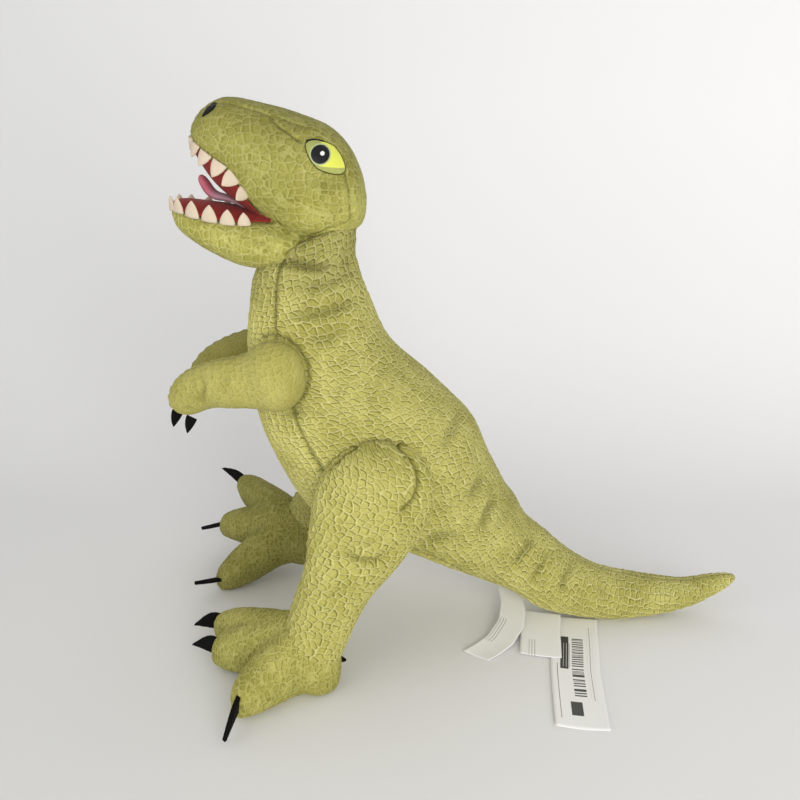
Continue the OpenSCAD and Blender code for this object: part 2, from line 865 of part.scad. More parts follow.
stand() size_label();
stand() loop_label();
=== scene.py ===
# %% [markdown]
# # A stuffed dinosaur
# The real toy is soft plush, cut in panels, sewn inside out, turned and filled with fibre. Its teeth, tongue
# and claws are felt, and its eyes and nostrils are embroidered. This lesson sews it again in Blender, round
# a frame that already holds every part's place and every joint.

# %% Load the frame
import json
import math
import bmesh
import bpy
import numpy as np
from mathutils import Matrix, Vector, noise
from mathutils.bvhtree import BVHTree
from mathutils.kdtree import KDTree


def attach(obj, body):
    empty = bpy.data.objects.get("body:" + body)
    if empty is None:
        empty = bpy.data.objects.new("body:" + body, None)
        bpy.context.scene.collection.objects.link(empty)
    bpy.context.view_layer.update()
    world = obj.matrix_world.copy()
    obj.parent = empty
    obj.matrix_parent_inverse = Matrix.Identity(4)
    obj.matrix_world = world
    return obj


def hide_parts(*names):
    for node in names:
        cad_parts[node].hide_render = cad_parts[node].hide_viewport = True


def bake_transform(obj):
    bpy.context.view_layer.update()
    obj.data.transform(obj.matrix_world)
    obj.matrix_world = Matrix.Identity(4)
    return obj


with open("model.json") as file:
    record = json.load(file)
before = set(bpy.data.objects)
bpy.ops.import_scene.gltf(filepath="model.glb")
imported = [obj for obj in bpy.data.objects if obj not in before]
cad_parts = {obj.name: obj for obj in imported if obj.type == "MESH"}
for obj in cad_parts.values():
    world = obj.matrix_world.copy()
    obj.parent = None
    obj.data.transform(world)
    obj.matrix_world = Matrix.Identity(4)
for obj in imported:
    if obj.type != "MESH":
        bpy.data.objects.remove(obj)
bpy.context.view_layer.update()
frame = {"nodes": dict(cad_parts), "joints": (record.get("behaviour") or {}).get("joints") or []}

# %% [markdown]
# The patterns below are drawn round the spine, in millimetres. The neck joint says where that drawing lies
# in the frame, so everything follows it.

MM = 0.001
joints = {j["name"]: j for j in frame["joints"]}
NECK = (-113, 0, 303)
stand = np.array(joints["neck_nod"]["pos_m"]) / MM - NECK
SIDES = {"left": -1, "right": 1}


def place(points):
    """Drawing millimetres to metres in the frame."""
    return (np.array(points, float).reshape(-1, 3) + stand) * MM


def drawn(point):
    """A place in the frame, in the drawing's millimetres."""
    return np.array(point) / MM - stand


hip = drawn(joints["left_hip"]["pos_m"])
print("the drawing is moved by", np.round(stand, 2), "mm; hip", np.round(hip, 1))

# %% [markdown]
# The camera stands half a metre off and looks a little down, as a person at a table would.

# %% Camera
FRAME_SIDE = 800
FOCUS = 785
camera = bpy.data.objects.new("camera", bpy.data.cameras.new("camera"))
bpy.context.scene.collection.objects.link(camera)
camera.data.sensor_width = 36
camera.data.lens = FOCUS / FRAME_SIDE * camera.data.sensor_width
camera.data.clip_start = 0.01
camera.location = place((-50, -563, 368))[0]
camera.rotation_euler = (math.radians(90 - 18), 0, 0)
bpy.context.scene.camera = camera

# %% [markdown]
# ## Materials
# One function turns a hex colour to linear light, and one adds a node with its settings and links. They keep
# every material below short enough to read in one go.

# %% Colour and node helpers


def colour(code):
    shares = [int(code[i:i + 2], 16) / 255 for i in (1, 3, 5)]
    return [c / 12.92 if c <= 0.04045 else ((c + 0.055) / 1.055) ** 2.4 for c in shares] + [1]


def add(tree, kind, inputs=None, **settings):
    """Adds a node. inputs maps a socket's name or number to a value or to another node's socket."""
    node = tree.nodes.new(kind)
    for key, value in settings.items():
        setattr(node, key, value)
    for key, value in (inputs or {}).items():
        if isinstance(value, bpy.types.NodeSocket):
            tree.links.new(value, node.inputs[key])
        else:
            node.inputs[key].default_value = value
    return node


def new_material(name, roughness, sheen=0.0, specular=0.2):
    """A Principled material with only its own sockets set."""
    material = bpy.data.materials.new(name)
    material.use_nodes = True
    shader = material.node_tree.nodes["Principled BSDF"]
    shader.inputs["Roughness"].default_value = roughness
    shader.inputs["Sheen Weight"].default_value = sheen
    shader.inputs["Sheen Roughness"].default_value = 0.45
    shader.inputs["Specular IOR Level"].default_value = specular
    return material, material.node_tree, shader


# %% [markdown]
# The plush is short-pile velboa, brushed polyester whose pile has been pressed by a hot roller into scales.
# Between the scales thin ridges stand up and catch the light. The scales follow the cloth, so they are drawn
# on each piece's own cloth coordinates: metres along it and metres round it. The head and the feet are
# remeshed and have no such coordinates, so their scales come from the place itself.

# %% Plush
SCALE_SIZE = 5.3 * MM
RIDGE = 0.95 * MM
RIDGE_RISE = 0.75 * MM
# A scale ends where the distance from its heart passes these shares of its size.
ROUND_FROM, ROUND_TO = 0.55, 0.74
# Painted shadow: the cloth just beside each ridge, on its side away from the light, is painted darker.
RIDGE_SHADOW_SHIFT = (-0.9 * MM, 0.75 * MM, 0)


def scale_place(tree, flat, size, stretch):
    """Where the cloth is, for the scales: wandering a little, and stretched along the scales."""
    if flat:
        source = add(tree, "ShaderNodeAttribute" if tree.type == "SHADER" else "GeometryNodeInputNamedAttribute",
                     **({"attribute_name": "cloth"} if tree.type == "SHADER" else {"data_type": "FLOAT_VECTOR"}))
    elif tree.type == "SHADER":
        source = add(tree, "ShaderNodeAttribute", attribute_name="rest")
    else:
        source = add(tree, "GeometryNodeInputNamedAttribute", data_type="FLOAT_VECTOR")
    if tree.type != "SHADER":
        source.inputs["Name"].default_value = "cloth" if flat else "rest"
        place_socket = next(s for s in source.outputs if s.name == "Attribute" and s.enabled)
    else:
        place_socket = source.outputs["Vector"]
    wander = add(tree, "ShaderNodeTexNoise", {"Vector": place_socket, "Scale": 0.35 / size, "Detail": 1.0})
    drift = add(tree, "ShaderNodeVectorMath", {0: wander.outputs["Color"], 1: (0.9 * size,) * 3},
                operation="MULTIPLY")
    drifted = add(tree, "ShaderNodeVectorMath", {0: place_socket, 1: drift.outputs[0]}, operation="ADD")
    ripple = add(tree, "ShaderNodeTexNoise", {"Vector": place_socket, "Scale": 1.5 / size, "Detail": 0.0})
    bent = add(tree, "ShaderNodeVectorMath", {0: ripple.outputs["Color"], 1: (0.3 * size,) * 3},
               operation="MULTIPLY")
    moved = add(tree, "ShaderNodeVectorMath", {0: drifted.outputs[0], 1: bent.outputs[0]}, operation="ADD")
    shaped = add(tree, "ShaderNodeVectorMath", {0: moved.outputs[0], 1: stretch}, operation="MULTIPLY")
    return shaped.outputs[0]


def ridges(tree, where, flat, size, shift=(0, 0, 0)):
    """1 on the ridge between two scales and 0 inside one. Corners fill in, so the scales are round."""
    if any(shift):
        where = add(tree, "ShaderNodeVectorMath", {0: where, 1: shift}, operation="ADD").outputs[0]
    cells = {"Vector": where, "Scale": 1 / size, "Randomness": 0.62}
    space = "2D" if flat else "3D"
    edge = add(tree, "ShaderNodeTexVoronoi", cells, feature="DISTANCE_TO_EDGE", voronoi_dimensions=space)
    heart = add(tree, "ShaderNodeTexVoronoi", cells, feature="F1", voronoi_dimensions=space)
    line = add(tree, "ShaderNodeMapRange",
               {0: edge.outputs["Distance"], 1: 0.03, 2: RIDGE / size, 3: 1.0, 4: 0.0},
               interpolation_type="SMOOTHSTEP")
    most = 0.75 if flat else 0.0
    corner = add(tree, "ShaderNodeMapRange",
                 {0: heart.outputs["Distance"], 1: ROUND_FROM, 2: ROUND_TO, 3: 0.0, 4: most},
                 interpolation_type="SMOOTHSTEP")
    both = add(tree, "ShaderNodeMath", {0: line.outputs[0], 1: corner.outputs[0]}, operation="MAXIMUM")
    worn = add(tree, "ShaderNodeTexNoise", {"Vector": where, "Scale": 0.8 / size, "Detail": 0.0})
    kept = add(tree, "ShaderNodeMapRange", {0: worn.outputs[0], 1: 0.3, 2: 0.6, 3: 0.6, 4: 1.0})
    return add(tree, "ShaderNodeMath", {0: both.outputs[0], 1: kept.outputs[0]},
               operation="MULTIPLY").outputs[0]


def plush(name, field, ridge, deep, flat=True, size=SCALE_SIZE, stretch=(1, 1, 1), strength=1.0):
    material, tree, shader = new_material(name, roughness=0.93, sheen=0.05, specular=0.08)
    cloth = scale_place(tree, flat, size, stretch)
    line = ridges(tree, cloth, flat, size)
    beside = ridges(tree, cloth, flat, size, RIDGE_SHADOW_SHIFT)
    ridge_shadow = add(tree, "ShaderNodeMath", {0: beside, 1: line}, operation="SUBTRACT",
                    use_clamp=True).outputs[0]
    seam = add(tree, "ShaderNodeAttribute", attribute_name="thread").outputs["Fac"]
    where = add(tree, "ShaderNodeTexCoord").outputs["Object"]
    patches = add(tree, "ShaderNodeTexNoise",
                  {"Vector": where, "Scale": 38.0, "Detail": 4.0, "Roughness": 0.6})
    nap = add(tree, "ShaderNodeTexNoise", {"Vector": where, "Scale": 900.0, "Detail": 3.0, "Roughness": 0.7})
    worn = add(tree, "ShaderNodeMapRange", {0: patches.outputs[0], 1: 0.36, 2: 0.62, 3: 0.0, 4: 1.0})
    base = add(tree, "ShaderNodeMix", {0: worn.outputs[0], 6: colour(deep), 7: colour(field)},
               data_type="RGBA")
    # Painted highlight and painted shadow: the ridges are mixed towards a pale colour as if lit, and the cloth
    # just beside them towards a dark olive as if in their shadow.
    faint = add(tree, "ShaderNodeMath", {0: line, 1: 0.5 * strength}, operation="MULTIPLY")
    shade = add(tree, "ShaderNodeMath", {0: ridge_shadow, 1: 0.85 * strength}, operation="MULTIPLY")
    lit = add(tree, "ShaderNodeMix", {0: faint.outputs[0], 6: base.outputs[2], 7: colour(ridge)},
              data_type="RGBA")
    dark = add(tree, "ShaderNodeMix", {0: shade.outputs[0], 6: lit.outputs[2], 7: colour("#75722c")},
               data_type="RGBA")
    thread = add(tree, "ShaderNodeMath", {0: seam, 1: 0.75}, operation="MULTIPLY")
    ridged = add(tree, "ShaderNodeMix", {0: thread.outputs[0], 6: dark.outputs[2], 7: colour("#55521f")},
                 data_type="RGBA")
    speck = add(tree, "ShaderNodeMapRange", {0: nap.outputs[0], 1: 0.3, 2: 0.7, 3: 0.78, 4: 1.16})
    # Painted light and shade: a point attribute set on each piece makes the base colour lighter or darker.
    painted_light_and_shade = add(tree, "ShaderNodeAttribute", attribute_name="painted_light_and_shade").outputs["Fac"]
    speck = add(tree, "ShaderNodeMath",
                {0: speck.outputs[0], 1: add(tree, "ShaderNodeMath", {0: 1.0, 1: painted_light_and_shade}).outputs[0]},
                operation="MULTIPLY")
    fibre = add(tree, "ShaderNodeVectorMath", {0: ridged.outputs[2], "Scale": speck.outputs[0]},
                operation="SCALE")
    tree.links.new(fibre.outputs[0], shader.inputs["Base Color"])
    low = add(tree, "ShaderNodeBump", {"Strength": 0.9 * strength, "Distance": 0.6 * MM, "Height": line})
    fine = add(tree, "ShaderNodeBump", {"Strength": 0.35, "Distance": 0.3 * MM, "Height": nap.outputs[0],
                                       "Normal": low.outputs[0]})
    tree.links.new(fine.outputs[0], shader.inputs["Normal"])
    return material


BODY_STRETCH = (1.22, 0.9, 1)
body_plush = plush("olive_velboa_pressed_scales", "#c0ba6c", "#e0db9c", "#a6a052", stretch=BODY_STRETCH)
limb_plush = plush("olive_velboa_limbs", "#bbb568", "#dcd795", "#a8a253", stretch=BODY_STRETCH)
arm_plush = plush("olive_velboa_arms", "#b5af64", "#cfc986", "#a8a256", size=5.2 * MM, strength=0.35)
# The head and foot copies are the same velboa with darker base colours, which is painted shade.
head_plush = plush("olive_velboa_head", "#aaa65a", "#cdc987", "#969246", flat=False, size=5.4 * MM,
                   strength=0.62)
foot_plush = plush("olive_velboa_feet", "#aca65a", "#cbc680", "#959046", flat=False, size=5 * MM,
                   strength=0.7,
                   stretch=(1.35, 0.8, 1.1))

# %% [markdown]
# Painted light and shade: a point attribute says how much lighter or darker each point of a piece is
# painted, as the share of light that it adds or takes.

# %% Painted light and shade


def paint_light_and_shade(piece, share):
    """Paints light or shade on a piece. share, the light added or taken, is a function of the points, in drawing
    millimetres, and of the normals.
    """
    mark = piece.data.attributes.get("painted_light_and_shade") or piece.data.attributes.new("painted_light_and_shade", "FLOAT", "POINT")
    old = np.zeros(len(piece.data.vertices), np.float32)
    mark.data.foreach_get("value", old)
    values = old + share(drawn(coords(piece)), normals(piece))
    mark.data.foreach_set("value", np.asarray(values, np.float32))


# %% [markdown]
# Felt is matted wool or polyester with no weave. A coarse and a fine noise together give it its clumps and
# its loose fibres. Satin stitch is the opposite: bright parallel threads. The mouth is smooth tricot.

# %% Felt, thread, tricot and ribbon


def felt(name, body, pale, clump=500.0, roughness=0.95, sheen=0.25, rise=0.35, far=None):
    material, tree, shader = new_material(name, roughness=roughness, sheen=sheen)
    where = add(tree, "ShaderNodeTexCoord").outputs["Object"]
    clumps = add(tree, "ShaderNodeTexNoise",
                 {"Vector": where, "Scale": clump, "Detail": 5.0, "Roughness": 0.75})
    mixed = add(tree, "ShaderNodeMix", {0: clumps.outputs[0], 6: colour(body), 7: colour(pale)},
                data_type="RGBA")
    if far:
        parts = add(tree, "ShaderNodeSeparateXYZ",
                    {0: add(tree, "ShaderNodeAttribute", attribute_name="cloth").outputs[1]})
        share = add(tree, "ShaderNodeMapRange", {0: parts.outputs[0], 1: 10 * MM, 2: 20 * MM})
        mixed = add(tree, "ShaderNodeMix", {0: share.outputs[0], 6: mixed.outputs[2], 7: colour(far)},
                    data_type="RGBA")
    bump = add(tree, "ShaderNodeBump", {"Strength": rise, "Distance": 0.3 * MM, "Height": clumps.outputs[0]})
    tree.links.new(mixed.outputs[2], shader.inputs["Base Color"])
    tree.links.new(bump.outputs[0], shader.inputs["Normal"])
    return material


tooth_felt = felt("cream_wool_felt", "#cbb9a0", "#dccdb9", sheen=0.1)
claw_felt = felt("black_wool_felt", "#020202", "#0a0a0a", sheen=0.0)
tongue_felt = felt("rose_polyester_felt", "#b4586c", "#c87888", sheen=0.1, far="#b08a96")
mouth_tricot = felt("dark_red_tricot", "#7c2420", "#9a332c", clump=1400.0, roughness=0.8, sheen=0.05,
                    rise=0.2)
outline_thread = felt("black_rayon_thread", "#060706", "#121312", clump=2500.0, roughness=0.55, sheen=0.0)
lid_thread = felt("olive_rayon_thread", "#4c4a20", "#6d6b34", clump=2500.0, roughness=0.5, sheen=0.0)

# %% [markdown]
# ## Sewing helpers
# A soft form is a loft: rings across a path, each with a back point, a front point, a half width and the
# middle it is centred on. A curve through the rings gives as many as the cloth needs. Written this way, a
# panel has clean rows and columns, so the scales can follow it.

# %% Lofts


def through(stations, count):
    """A smooth run of count rows through the stations, evenly spaced along their middles."""
    s = np.array(stations, float)
    padded = np.vstack([s[0], s, s[-1]])
    fine = []
    for i in range(len(s) - 1):
        a, b, c, d = padded[i:i + 4]
        for t in np.linspace(0, 1, 24, endpoint=False):
            fine.append(0.5 * (2 * b + (c - a) * t + (2 * a - 5 * b + 4 * c - d) * t ** 2
                               + (3 * b - a - 3 * c + d) * t ** 3))
    fine = np.array(fine + [s[-1]])
    middle = np.c_[(fine[:, 0] + fine[:, 2]) / 2, fine[:, 5], (fine[:, 1] + fine[:, 3]) / 2]
    way = np.r_[0, np.cumsum(np.linalg.norm(np.diff(middle, axis=0), axis=1)
                             + 0.35 * np.linalg.norm(np.diff(fine[:, 4:5], axis=0), axis=1))]
    at = np.linspace(0, way[-1], count)
    return np.array([np.interp(at, way, fine[:, k]) for k in range(fine.shape[1])]).T


def full(c, power=0.9):
    """A little squarer than a circle, as a stuffed ring is."""
    return np.sign(c) * np.abs(c) ** power


def ring(s, turns, outset=0.0):
    """Points round one station. Turn 0 is its back or top, half a turn its front or underside."""
    half = np.array([(s[0] - s[2]) / 2, (s[1] - s[3]) / 2])
    grow = 1 + outset / max(np.hypot(*half), 0.1)
    c, w = full(np.cos(turns)), full(np.sin(turns))
    return np.c_[(s[0] + s[2]) / 2 + half[0] * grow * c, s[5] + (s[4] + outset) * w,
                 (s[1] + s[3]) / 2 + half[1] * grow * c]


def across(x, y, z, way, deep, wide, seam=180):
    """A station across a path that runs along way in the side view."""
    n = np.array([-way[1], way[0]]) / np.hypot(*way)
    return [x + n[0] * deep, z + n[1] * deep, x - n[0] * deep, z - n[1] * deep, wide, y, seam]


def new_piece(name, points, faces, material=None, smooth=True):
    mesh = bpy.data.meshes.new(name)
    mesh.from_pydata([tuple(p) for p in points], [], [tuple(f) for f in faces])
    mesh.update()
    mesh.shade_smooth() if smooth else mesh.shade_flat()
    piece = bpy.data.objects.new(name, mesh)
    bpy.context.scene.collection.objects.link(piece)
    if material:
        mesh.materials.append(material)
    return piece


def loft(name, rows, columns, material, outset=0.0):
    """A closed soft form through its rows, with cloth coordinates that break at the seams."""
    turns = np.arange(columns) / columns * 2 * math.pi
    grow = outset if callable(outset) else lambda s: outset
    grid = np.array([place(ring(s, turns, grow(s))) for s in rows])
    count = len(rows)
    points = np.vstack([grid.reshape(-1, 3), grid[0].mean(0), grid[-1].mean(0)])
    faces, cloth = [], []
    round_way = np.zeros((count, columns + 1))
    closed = np.concatenate([grid, grid[:, :1]], axis=1)
    round_way[:, 1:] = np.cumsum(np.linalg.norm(np.diff(closed, axis=1), axis=2), axis=1)
    along = np.r_[0, np.cumsum(np.linalg.norm(np.diff(grid.mean(1), axis=0), axis=1))]
    half = columns // 2
    for i in range(count - 1):
        seam = rows[i][6]
        for k in range(columns):
            turn = 360 * (k + 0.5) / columns
            belly = seam < turn < 360 - seam
            faces.append((i * columns + k, i * columns + (k + 1) % columns,
                          (i + 1) * columns + (k + 1) % columns, (i + 1) * columns + k))
            for row, col in ((i, k), (i, k + 1), (i + 1, k + 1), (i + 1, k)):
                v = round_way[row, col]
                if belly:
                    v = v - round_way[row, half] + 0.9
                elif k >= half:
                    v = v - round_way[row, -1]
                cloth.append((along[row], v, 0))
    for end, row in ((0, 0), (1, count - 1)):
        for k in range(columns):
            a, b = row * columns + k, row * columns + (k + 1) % columns
            faces.append((b, a, count * columns) if end == 0 else (a, b, count * columns + 1))
            cloth += [(along[row], 0, 0)] * 3
    piece = new_piece(name, points, faces, material)
    face_out(piece)
    piece.data.attributes.new("cloth", "FLOAT_VECTOR", "CORNER").data.foreach_set(
        "vector", corner_order(piece, faces, np.array(cloth, np.float32)).ravel())
    return piece


def face_out(piece):
    """Turns every face outwards if the closed form is inside out."""
    bm = bmesh.new()
    bm.from_mesh(piece.data)
    if bm.calc_volume(signed=True) < 0:
        bmesh.ops.reverse_faces(bm, faces=bm.faces)
    bm.to_mesh(piece.data)
    bm.free()


def corner_order(piece, faces, values):
    """Values listed corner by corner for faces as first written, put in the mesh's own corner order."""
    out, start = np.zeros_like(values), 0
    for poly, corners in zip(piece.data.polygons, faces):
        first = {v: start + i for i, v in enumerate(corners)}
        for loop in poly.loop_indices:
            out[loop] = values[first[piece.data.loops[loop].vertex_index]]
        start += len(corners)
    return out


# %% [markdown]
# ## Stuffing, seams and scales
# Cloth with air pressure inside swells between its seams as fibre makes it do, so every padded piece is
# blown up with its seams pinned. How far a point may move is capped, so the toy keeps its size.

# %% Helpers that work on a finished form


def coords(piece):
    out = np.zeros(len(piece.data.vertices) * 3, np.float32)
    piece.data.vertices.foreach_get("co", out)
    return out.reshape(-1, 3).astype(float)


def normals(piece):
    out = np.zeros(len(piece.data.vertices) * 3, np.float32)
    piece.data.vertices.foreach_get("normal", out)
    return out.reshape(-1, 3).astype(float)


def move_to(piece, points):
    piece.data.vertices.foreach_set("co", np.asarray(points, np.float32).ravel())
    piece.data.update()


def bake(piece):
    """Applies a piece's modifiers to a plain mesh of its own."""
    graph = bpy.context.evaluated_depsgraph_get()
    mesh = bpy.data.meshes.new_from_object(piece.evaluated_get(graph), preserve_all_data_layers=True,
                                           depsgraph=graph)
    piece.modifiers.clear()
    piece.data = mesh
    return piece


def subdivide(piece, levels):
    m = piece.modifiers.new("finer", "SUBSURF")
    m.levels = m.render_levels = levels
    return bake(piece)


def fill_line(points, step=1.0 * MM):
    """Points a step apart along a line, in metres."""
    p = np.array(points, float)
    way = np.r_[0, np.cumsum(np.linalg.norm(np.diff(p, axis=0), axis=1))]
    at = np.linspace(0, way[-1], max(2, int(way[-1] / step)))
    return np.array([np.interp(at, way, p[:, k]) for k in range(3)]).T


def distance_to(points, lines):
    """Each point's distance to the nearest line, and the distance along it there."""
    tree = KDTree(sum(len(l) for l in lines))
    along, n = [], 0
    for line in lines:
        along.append(np.r_[0, np.cumsum(np.linalg.norm(np.diff(line, axis=0), axis=1))])
        for p in line:
            tree.insert(p, n)
            n += 1
    tree.balance()
    along = np.concatenate(along)
    found = [tree.find(p) for p in points]
    return np.array([f[2] for f in found]), along[[f[1] for f in found]]


def stuff(piece, seams, pressure=4.0, cap=3.0 * MM, frames=14):
    """Blows a form up as filling does, with its seams held."""
    start = coords(piece)
    group = piece.vertex_groups.new(name="seams")
    if seams:
        near, _ = distance_to(start, seams)
        for i in np.flatnonzero(near < 3 * MM):
            group.add([int(i)], 1.0, "REPLACE")
    cloth = piece.modifiers.new("stuffing", "CLOTH")
    settings = cloth.settings
    settings.use_pressure = True
    settings.uniform_pressure_force = pressure
    settings.effector_weights.gravity = 0
    settings.quality = 4
    if seams:
        settings.vertex_group_mass = "seams"
    scene = bpy.context.scene
    for f in range(1, frames + 1):
        scene.frame_set(f)
    graph = bpy.context.evaluated_depsgraph_get()
    swollen = piece.evaluated_get(graph).to_mesh()
    end = np.zeros(len(swollen.vertices) * 3, np.float32)
    swollen.vertices.foreach_get("co", end)
    piece.modifiers.clear()
    scene.frame_set(1)
    move = end.reshape(-1, 3) - start
    length = np.linalg.norm(move, axis=1, keepdims=True)
    move *= np.minimum(1, cap / np.maximum(length, 1e-9))
    move_to(piece, start + move)
    print(piece.name, "swells by up to", round(float(np.linalg.norm(move, axis=1).max()) / MM, 2), "mm")
    return piece


def sew(piece, seams, depth=1.3 * MM, width=2.2 * MM, pucker=0.35 * MM, pitch=8 * MM, thread=0.9 * MM):
    """Draws the cloth in along its seams, with the small puckers that a tight thread makes beside them."""
    points = coords(piece)
    near, along = distance_to(points, seams)
    groove = np.exp(-(near / width) ** 2)
    beside = np.exp(-((near - 2 * width) / (1.6 * width)) ** 2)
    dip = -depth * groove + pucker * beside * np.sin(along / pitch * 2 * math.pi)
    move_to(piece, points + normals(piece) * dip[:, None])
    for key, reach in (("seam", 1.4 * width), ("thread", thread)):
        mark = piece.data.attributes.get(key) or piece.data.attributes.new(key, "FLOAT", "POINT")
        old = np.zeros(len(points), np.float32)
        mark.data.foreach_get("value", old)
        if reach:
            mark.data.foreach_set("value", np.maximum(old, np.exp(-(near / reach) ** 2)).astype(np.float32))
    return piece


def on_side(piece, path, side):
    """A line drawn in the side view, laid on one side of a piece."""
    surface = BVHTree.FromPolygons([v.co for v in piece.data.vertices],
                                   [p.vertices for p in piece.data.polygons])
    line = []
    for x, z in path:
        start = place((x, side * 200, z))[0]
        hit = surface.ray_cast(Vector(start), Vector((0, -side, 0)))[0]
        line.append(hit if hit is not None else surface.find_nearest(Vector(place((x, side * 40, z))[0]))[0])
    return fill_line(line)


def crease(piece, folds):
    """Soft folds with painted shade in their valleys. Each is its points in side view, the side it is on, its
    depth and its width.
    """
    for path, side, depth, width in folds:
        points = coords(piece)
        near, along = distance_to(points, [on_side(piece, path, side)])
        ends = np.clip(np.minimum(along, along.max() - along) / (0.3 * along.max() + 1e-9), 0, 1)
        r = near / (width * MM)
        dip = -depth * MM * (1 - 0.9 * r ** 2) * np.exp(-r ** 2) * (0.25 + 0.75 * ends)
        move_to(piece, points + normals(piece) * dip[:, None])
        # Painted shade in each fold's valley.
        shade = -0.3 * min(1, depth / 3) * np.exp(-(1.2 * r) ** 2) * ends
        paint_light_and_shade(piece, lambda p, n: shade)
    return piece


def lumps(piece, size, height, seed):
    """The slight unevenness of hand filling."""
    points = coords(piece)
    shift = Vector((seed * 7.3, seed * 3.1, seed * 5.7))
    value = np.array([noise.noise(Vector(p) / size + shift) for p in points])
    move_to(piece, points + normals(piece) * (value * height)[:, None])
    return piece


# %% [markdown]
# The pressed scales are the same pattern again, now as real relief. Geometry Nodes read the cloth
# coordinates, find the edge between two scales and lift the cloth there, and leave the seams alone.

# %% Scale relief


def relief_tree():
    tree = bpy.data.node_groups.new("pressed_scales", "GeometryNodeTree")
    face = tree.interface
    face.new_socket("Geometry", in_out="INPUT", socket_type="NodeSocketGeometry")
    face.new_socket("Geometry", in_out="OUTPUT", socket_type="NodeSocketGeometry")
    face.new_socket("Rise", in_out="INPUT", socket_type="NodeSocketFloat")
    face.new_socket("Plush", in_out="INPUT", socket_type="NodeSocketMaterial")
    return tree


def emboss(piece, material, flat=True, size=SCALE_SIZE, stretch=(1, 1, 1), rise=RIDGE_RISE):
    tree = relief_tree()
    inside, out = add(tree, "NodeGroupInput"), add(tree, "NodeGroupOutput")
    line = ridges(tree, scale_place(tree, flat, size, stretch), flat, size)
    seam = add(tree, "GeometryNodeInputNamedAttribute", {"Name": "seam"}, data_type="FLOAT")
    seam_value = next(s for s in seam.outputs if s.name == "Attribute" and s.enabled)
    free = add(tree, "ShaderNodeMath", {0: 1.0, 1: seam_value}, operation="SUBTRACT")
    height = add(tree, "ShaderNodeMath", {0: line, 1: free.outputs[0]}, operation="MULTIPLY")
    risen = add(tree, "ShaderNodeMath", {0: height.outputs[0], 1: inside.outputs["Rise"]},
                operation="MULTIPLY")
    normal = add(tree, "GeometryNodeInputNormal")
    offset = add(tree, "ShaderNodeVectorMath", {0: normal.outputs[0], "Scale": risen.outputs[0]},
                 operation="SCALE")
    lifted = add(tree, "GeometryNodeSetPosition",
                 {"Geometry": inside.outputs["Geometry"], "Offset": offset.outputs[0]})
    real = add(tree, "GeometryNodeRealizeInstances", {0: lifted.outputs[0]})
    dressed = add(tree, "GeometryNodeSetMaterial",
                  {"Geometry": real.outputs[0], "Material": inside.outputs["Plush"]})
    tree.links.new(dressed.outputs[0], out.inputs[0])
    ids = {item.name: item.identifier for item in tree.interface.items_tree}
    m = piece.modifiers.new("scales", "NODES")
    m.node_group = tree
    m[ids["Rise"]] = rise
    m[ids["Plush"]] = material
    return bake(piece)


# %% [markdown]
# ## Torso and tail
# Two side panels and a belly panel make the torso, and the side panels run on into the tail. The form is one
# loft from the neck to the tip of the tail, so that the cloth has no step in it. It is cut in two at the
# end, into a torso piece and a tail piece.

# %% Torso pattern
NECK_HALF = 33
TORSO_HALF = 59
TAIL_HALF = 35


def between(a, b, share):
    return a + (b - a) * share


torso = [
    [-80, 322, -150, 288, NECK_HALF * 0.97, 0, 112],
    [-80, 306, -156, 276, NECK_HALF, 0, 112],
    [-80, 292, -158, 267, between(NECK_HALF, TORSO_HALF, 0.12), 0, 113],
    [-70, 262, -162, 246, between(NECK_HALF, TORSO_HALF, 0.37), 0, 114],
    [-54, 229, -163, 216, between(NECK_HALF, TORSO_HALF, 0.70), 0, 115],
    [-21, 201, -157, 172, between(NECK_HALF, TORSO_HALF, 0.89), 0, 116],
    [6, 172, -143, 138, TORSO_HALF, 0, 117],
    [21, 140, -118, 100, TORSO_HALF, 0, 118],
    [34, 116, -72, 77, between(TAIL_HALF, TORSO_HALF, 0.81), 0, 122],
    [44, 104, -20, 54, between(TAIL_HALF, TORSO_HALF, 0.48), 0, 130],
]
TAIL_ROOT = (34, 59)
TAIL_LENGTH = 189
TAIL_ROOT_DEEP = 0.9
tail_shape = [
    (0, 59, 1), (0.095, 48, 0.9), (0.21, 35, 0.76), (0.39, 21.5, 0.6), (0.595, 17, 0.475),
    (0.765, 19.5, 0.35), (0.895, 27, 0.25), (0.965, 32, 0.15), (0.995, 34.3, 0.06),
]
tail = []
for i, (share, z, size) in enumerate(tail_shape):
    a, b = tail_shape[max(i - 1, 0)], tail_shape[min(i + 1, len(tail_shape) - 1)]
    way = (0.818, -0.576) if i == 0 else ((b[0] - a[0]) * TAIL_LENGTH, b[1] - a[1])
    r = TAIL_HALF * size
    deep = r * TAIL_ROOT_DEEP if i < 2 else r
    tail.append(across(TAIL_ROOT[0] + share * TAIL_LENGTH, 0, max(z, r + 1) + r - deep, way, deep, r))
body_rows = through(torso + tail, 98)
BODY_COLUMNS = 88


def body_grow(s):
    """The cloth starts a little inside the pattern, because filling swells it."""
    return -2.2 * min(1, max(0, (s[4] - 22) / 18))


body = loft("body", body_rows, BODY_COLUMNS, body_plush, outset=body_grow)


def seam_line(rows, turn, grow=None):
    """A seam on a loft. turn gives a station's turn in degrees, or is one number."""
    at = turn if callable(turn) else (lambda s: turn)
    return fill_line([place(ring(s, np.array([math.radians(at(s))]),
                                 grow(s) if grow else 0.0))[0] for s in rows])


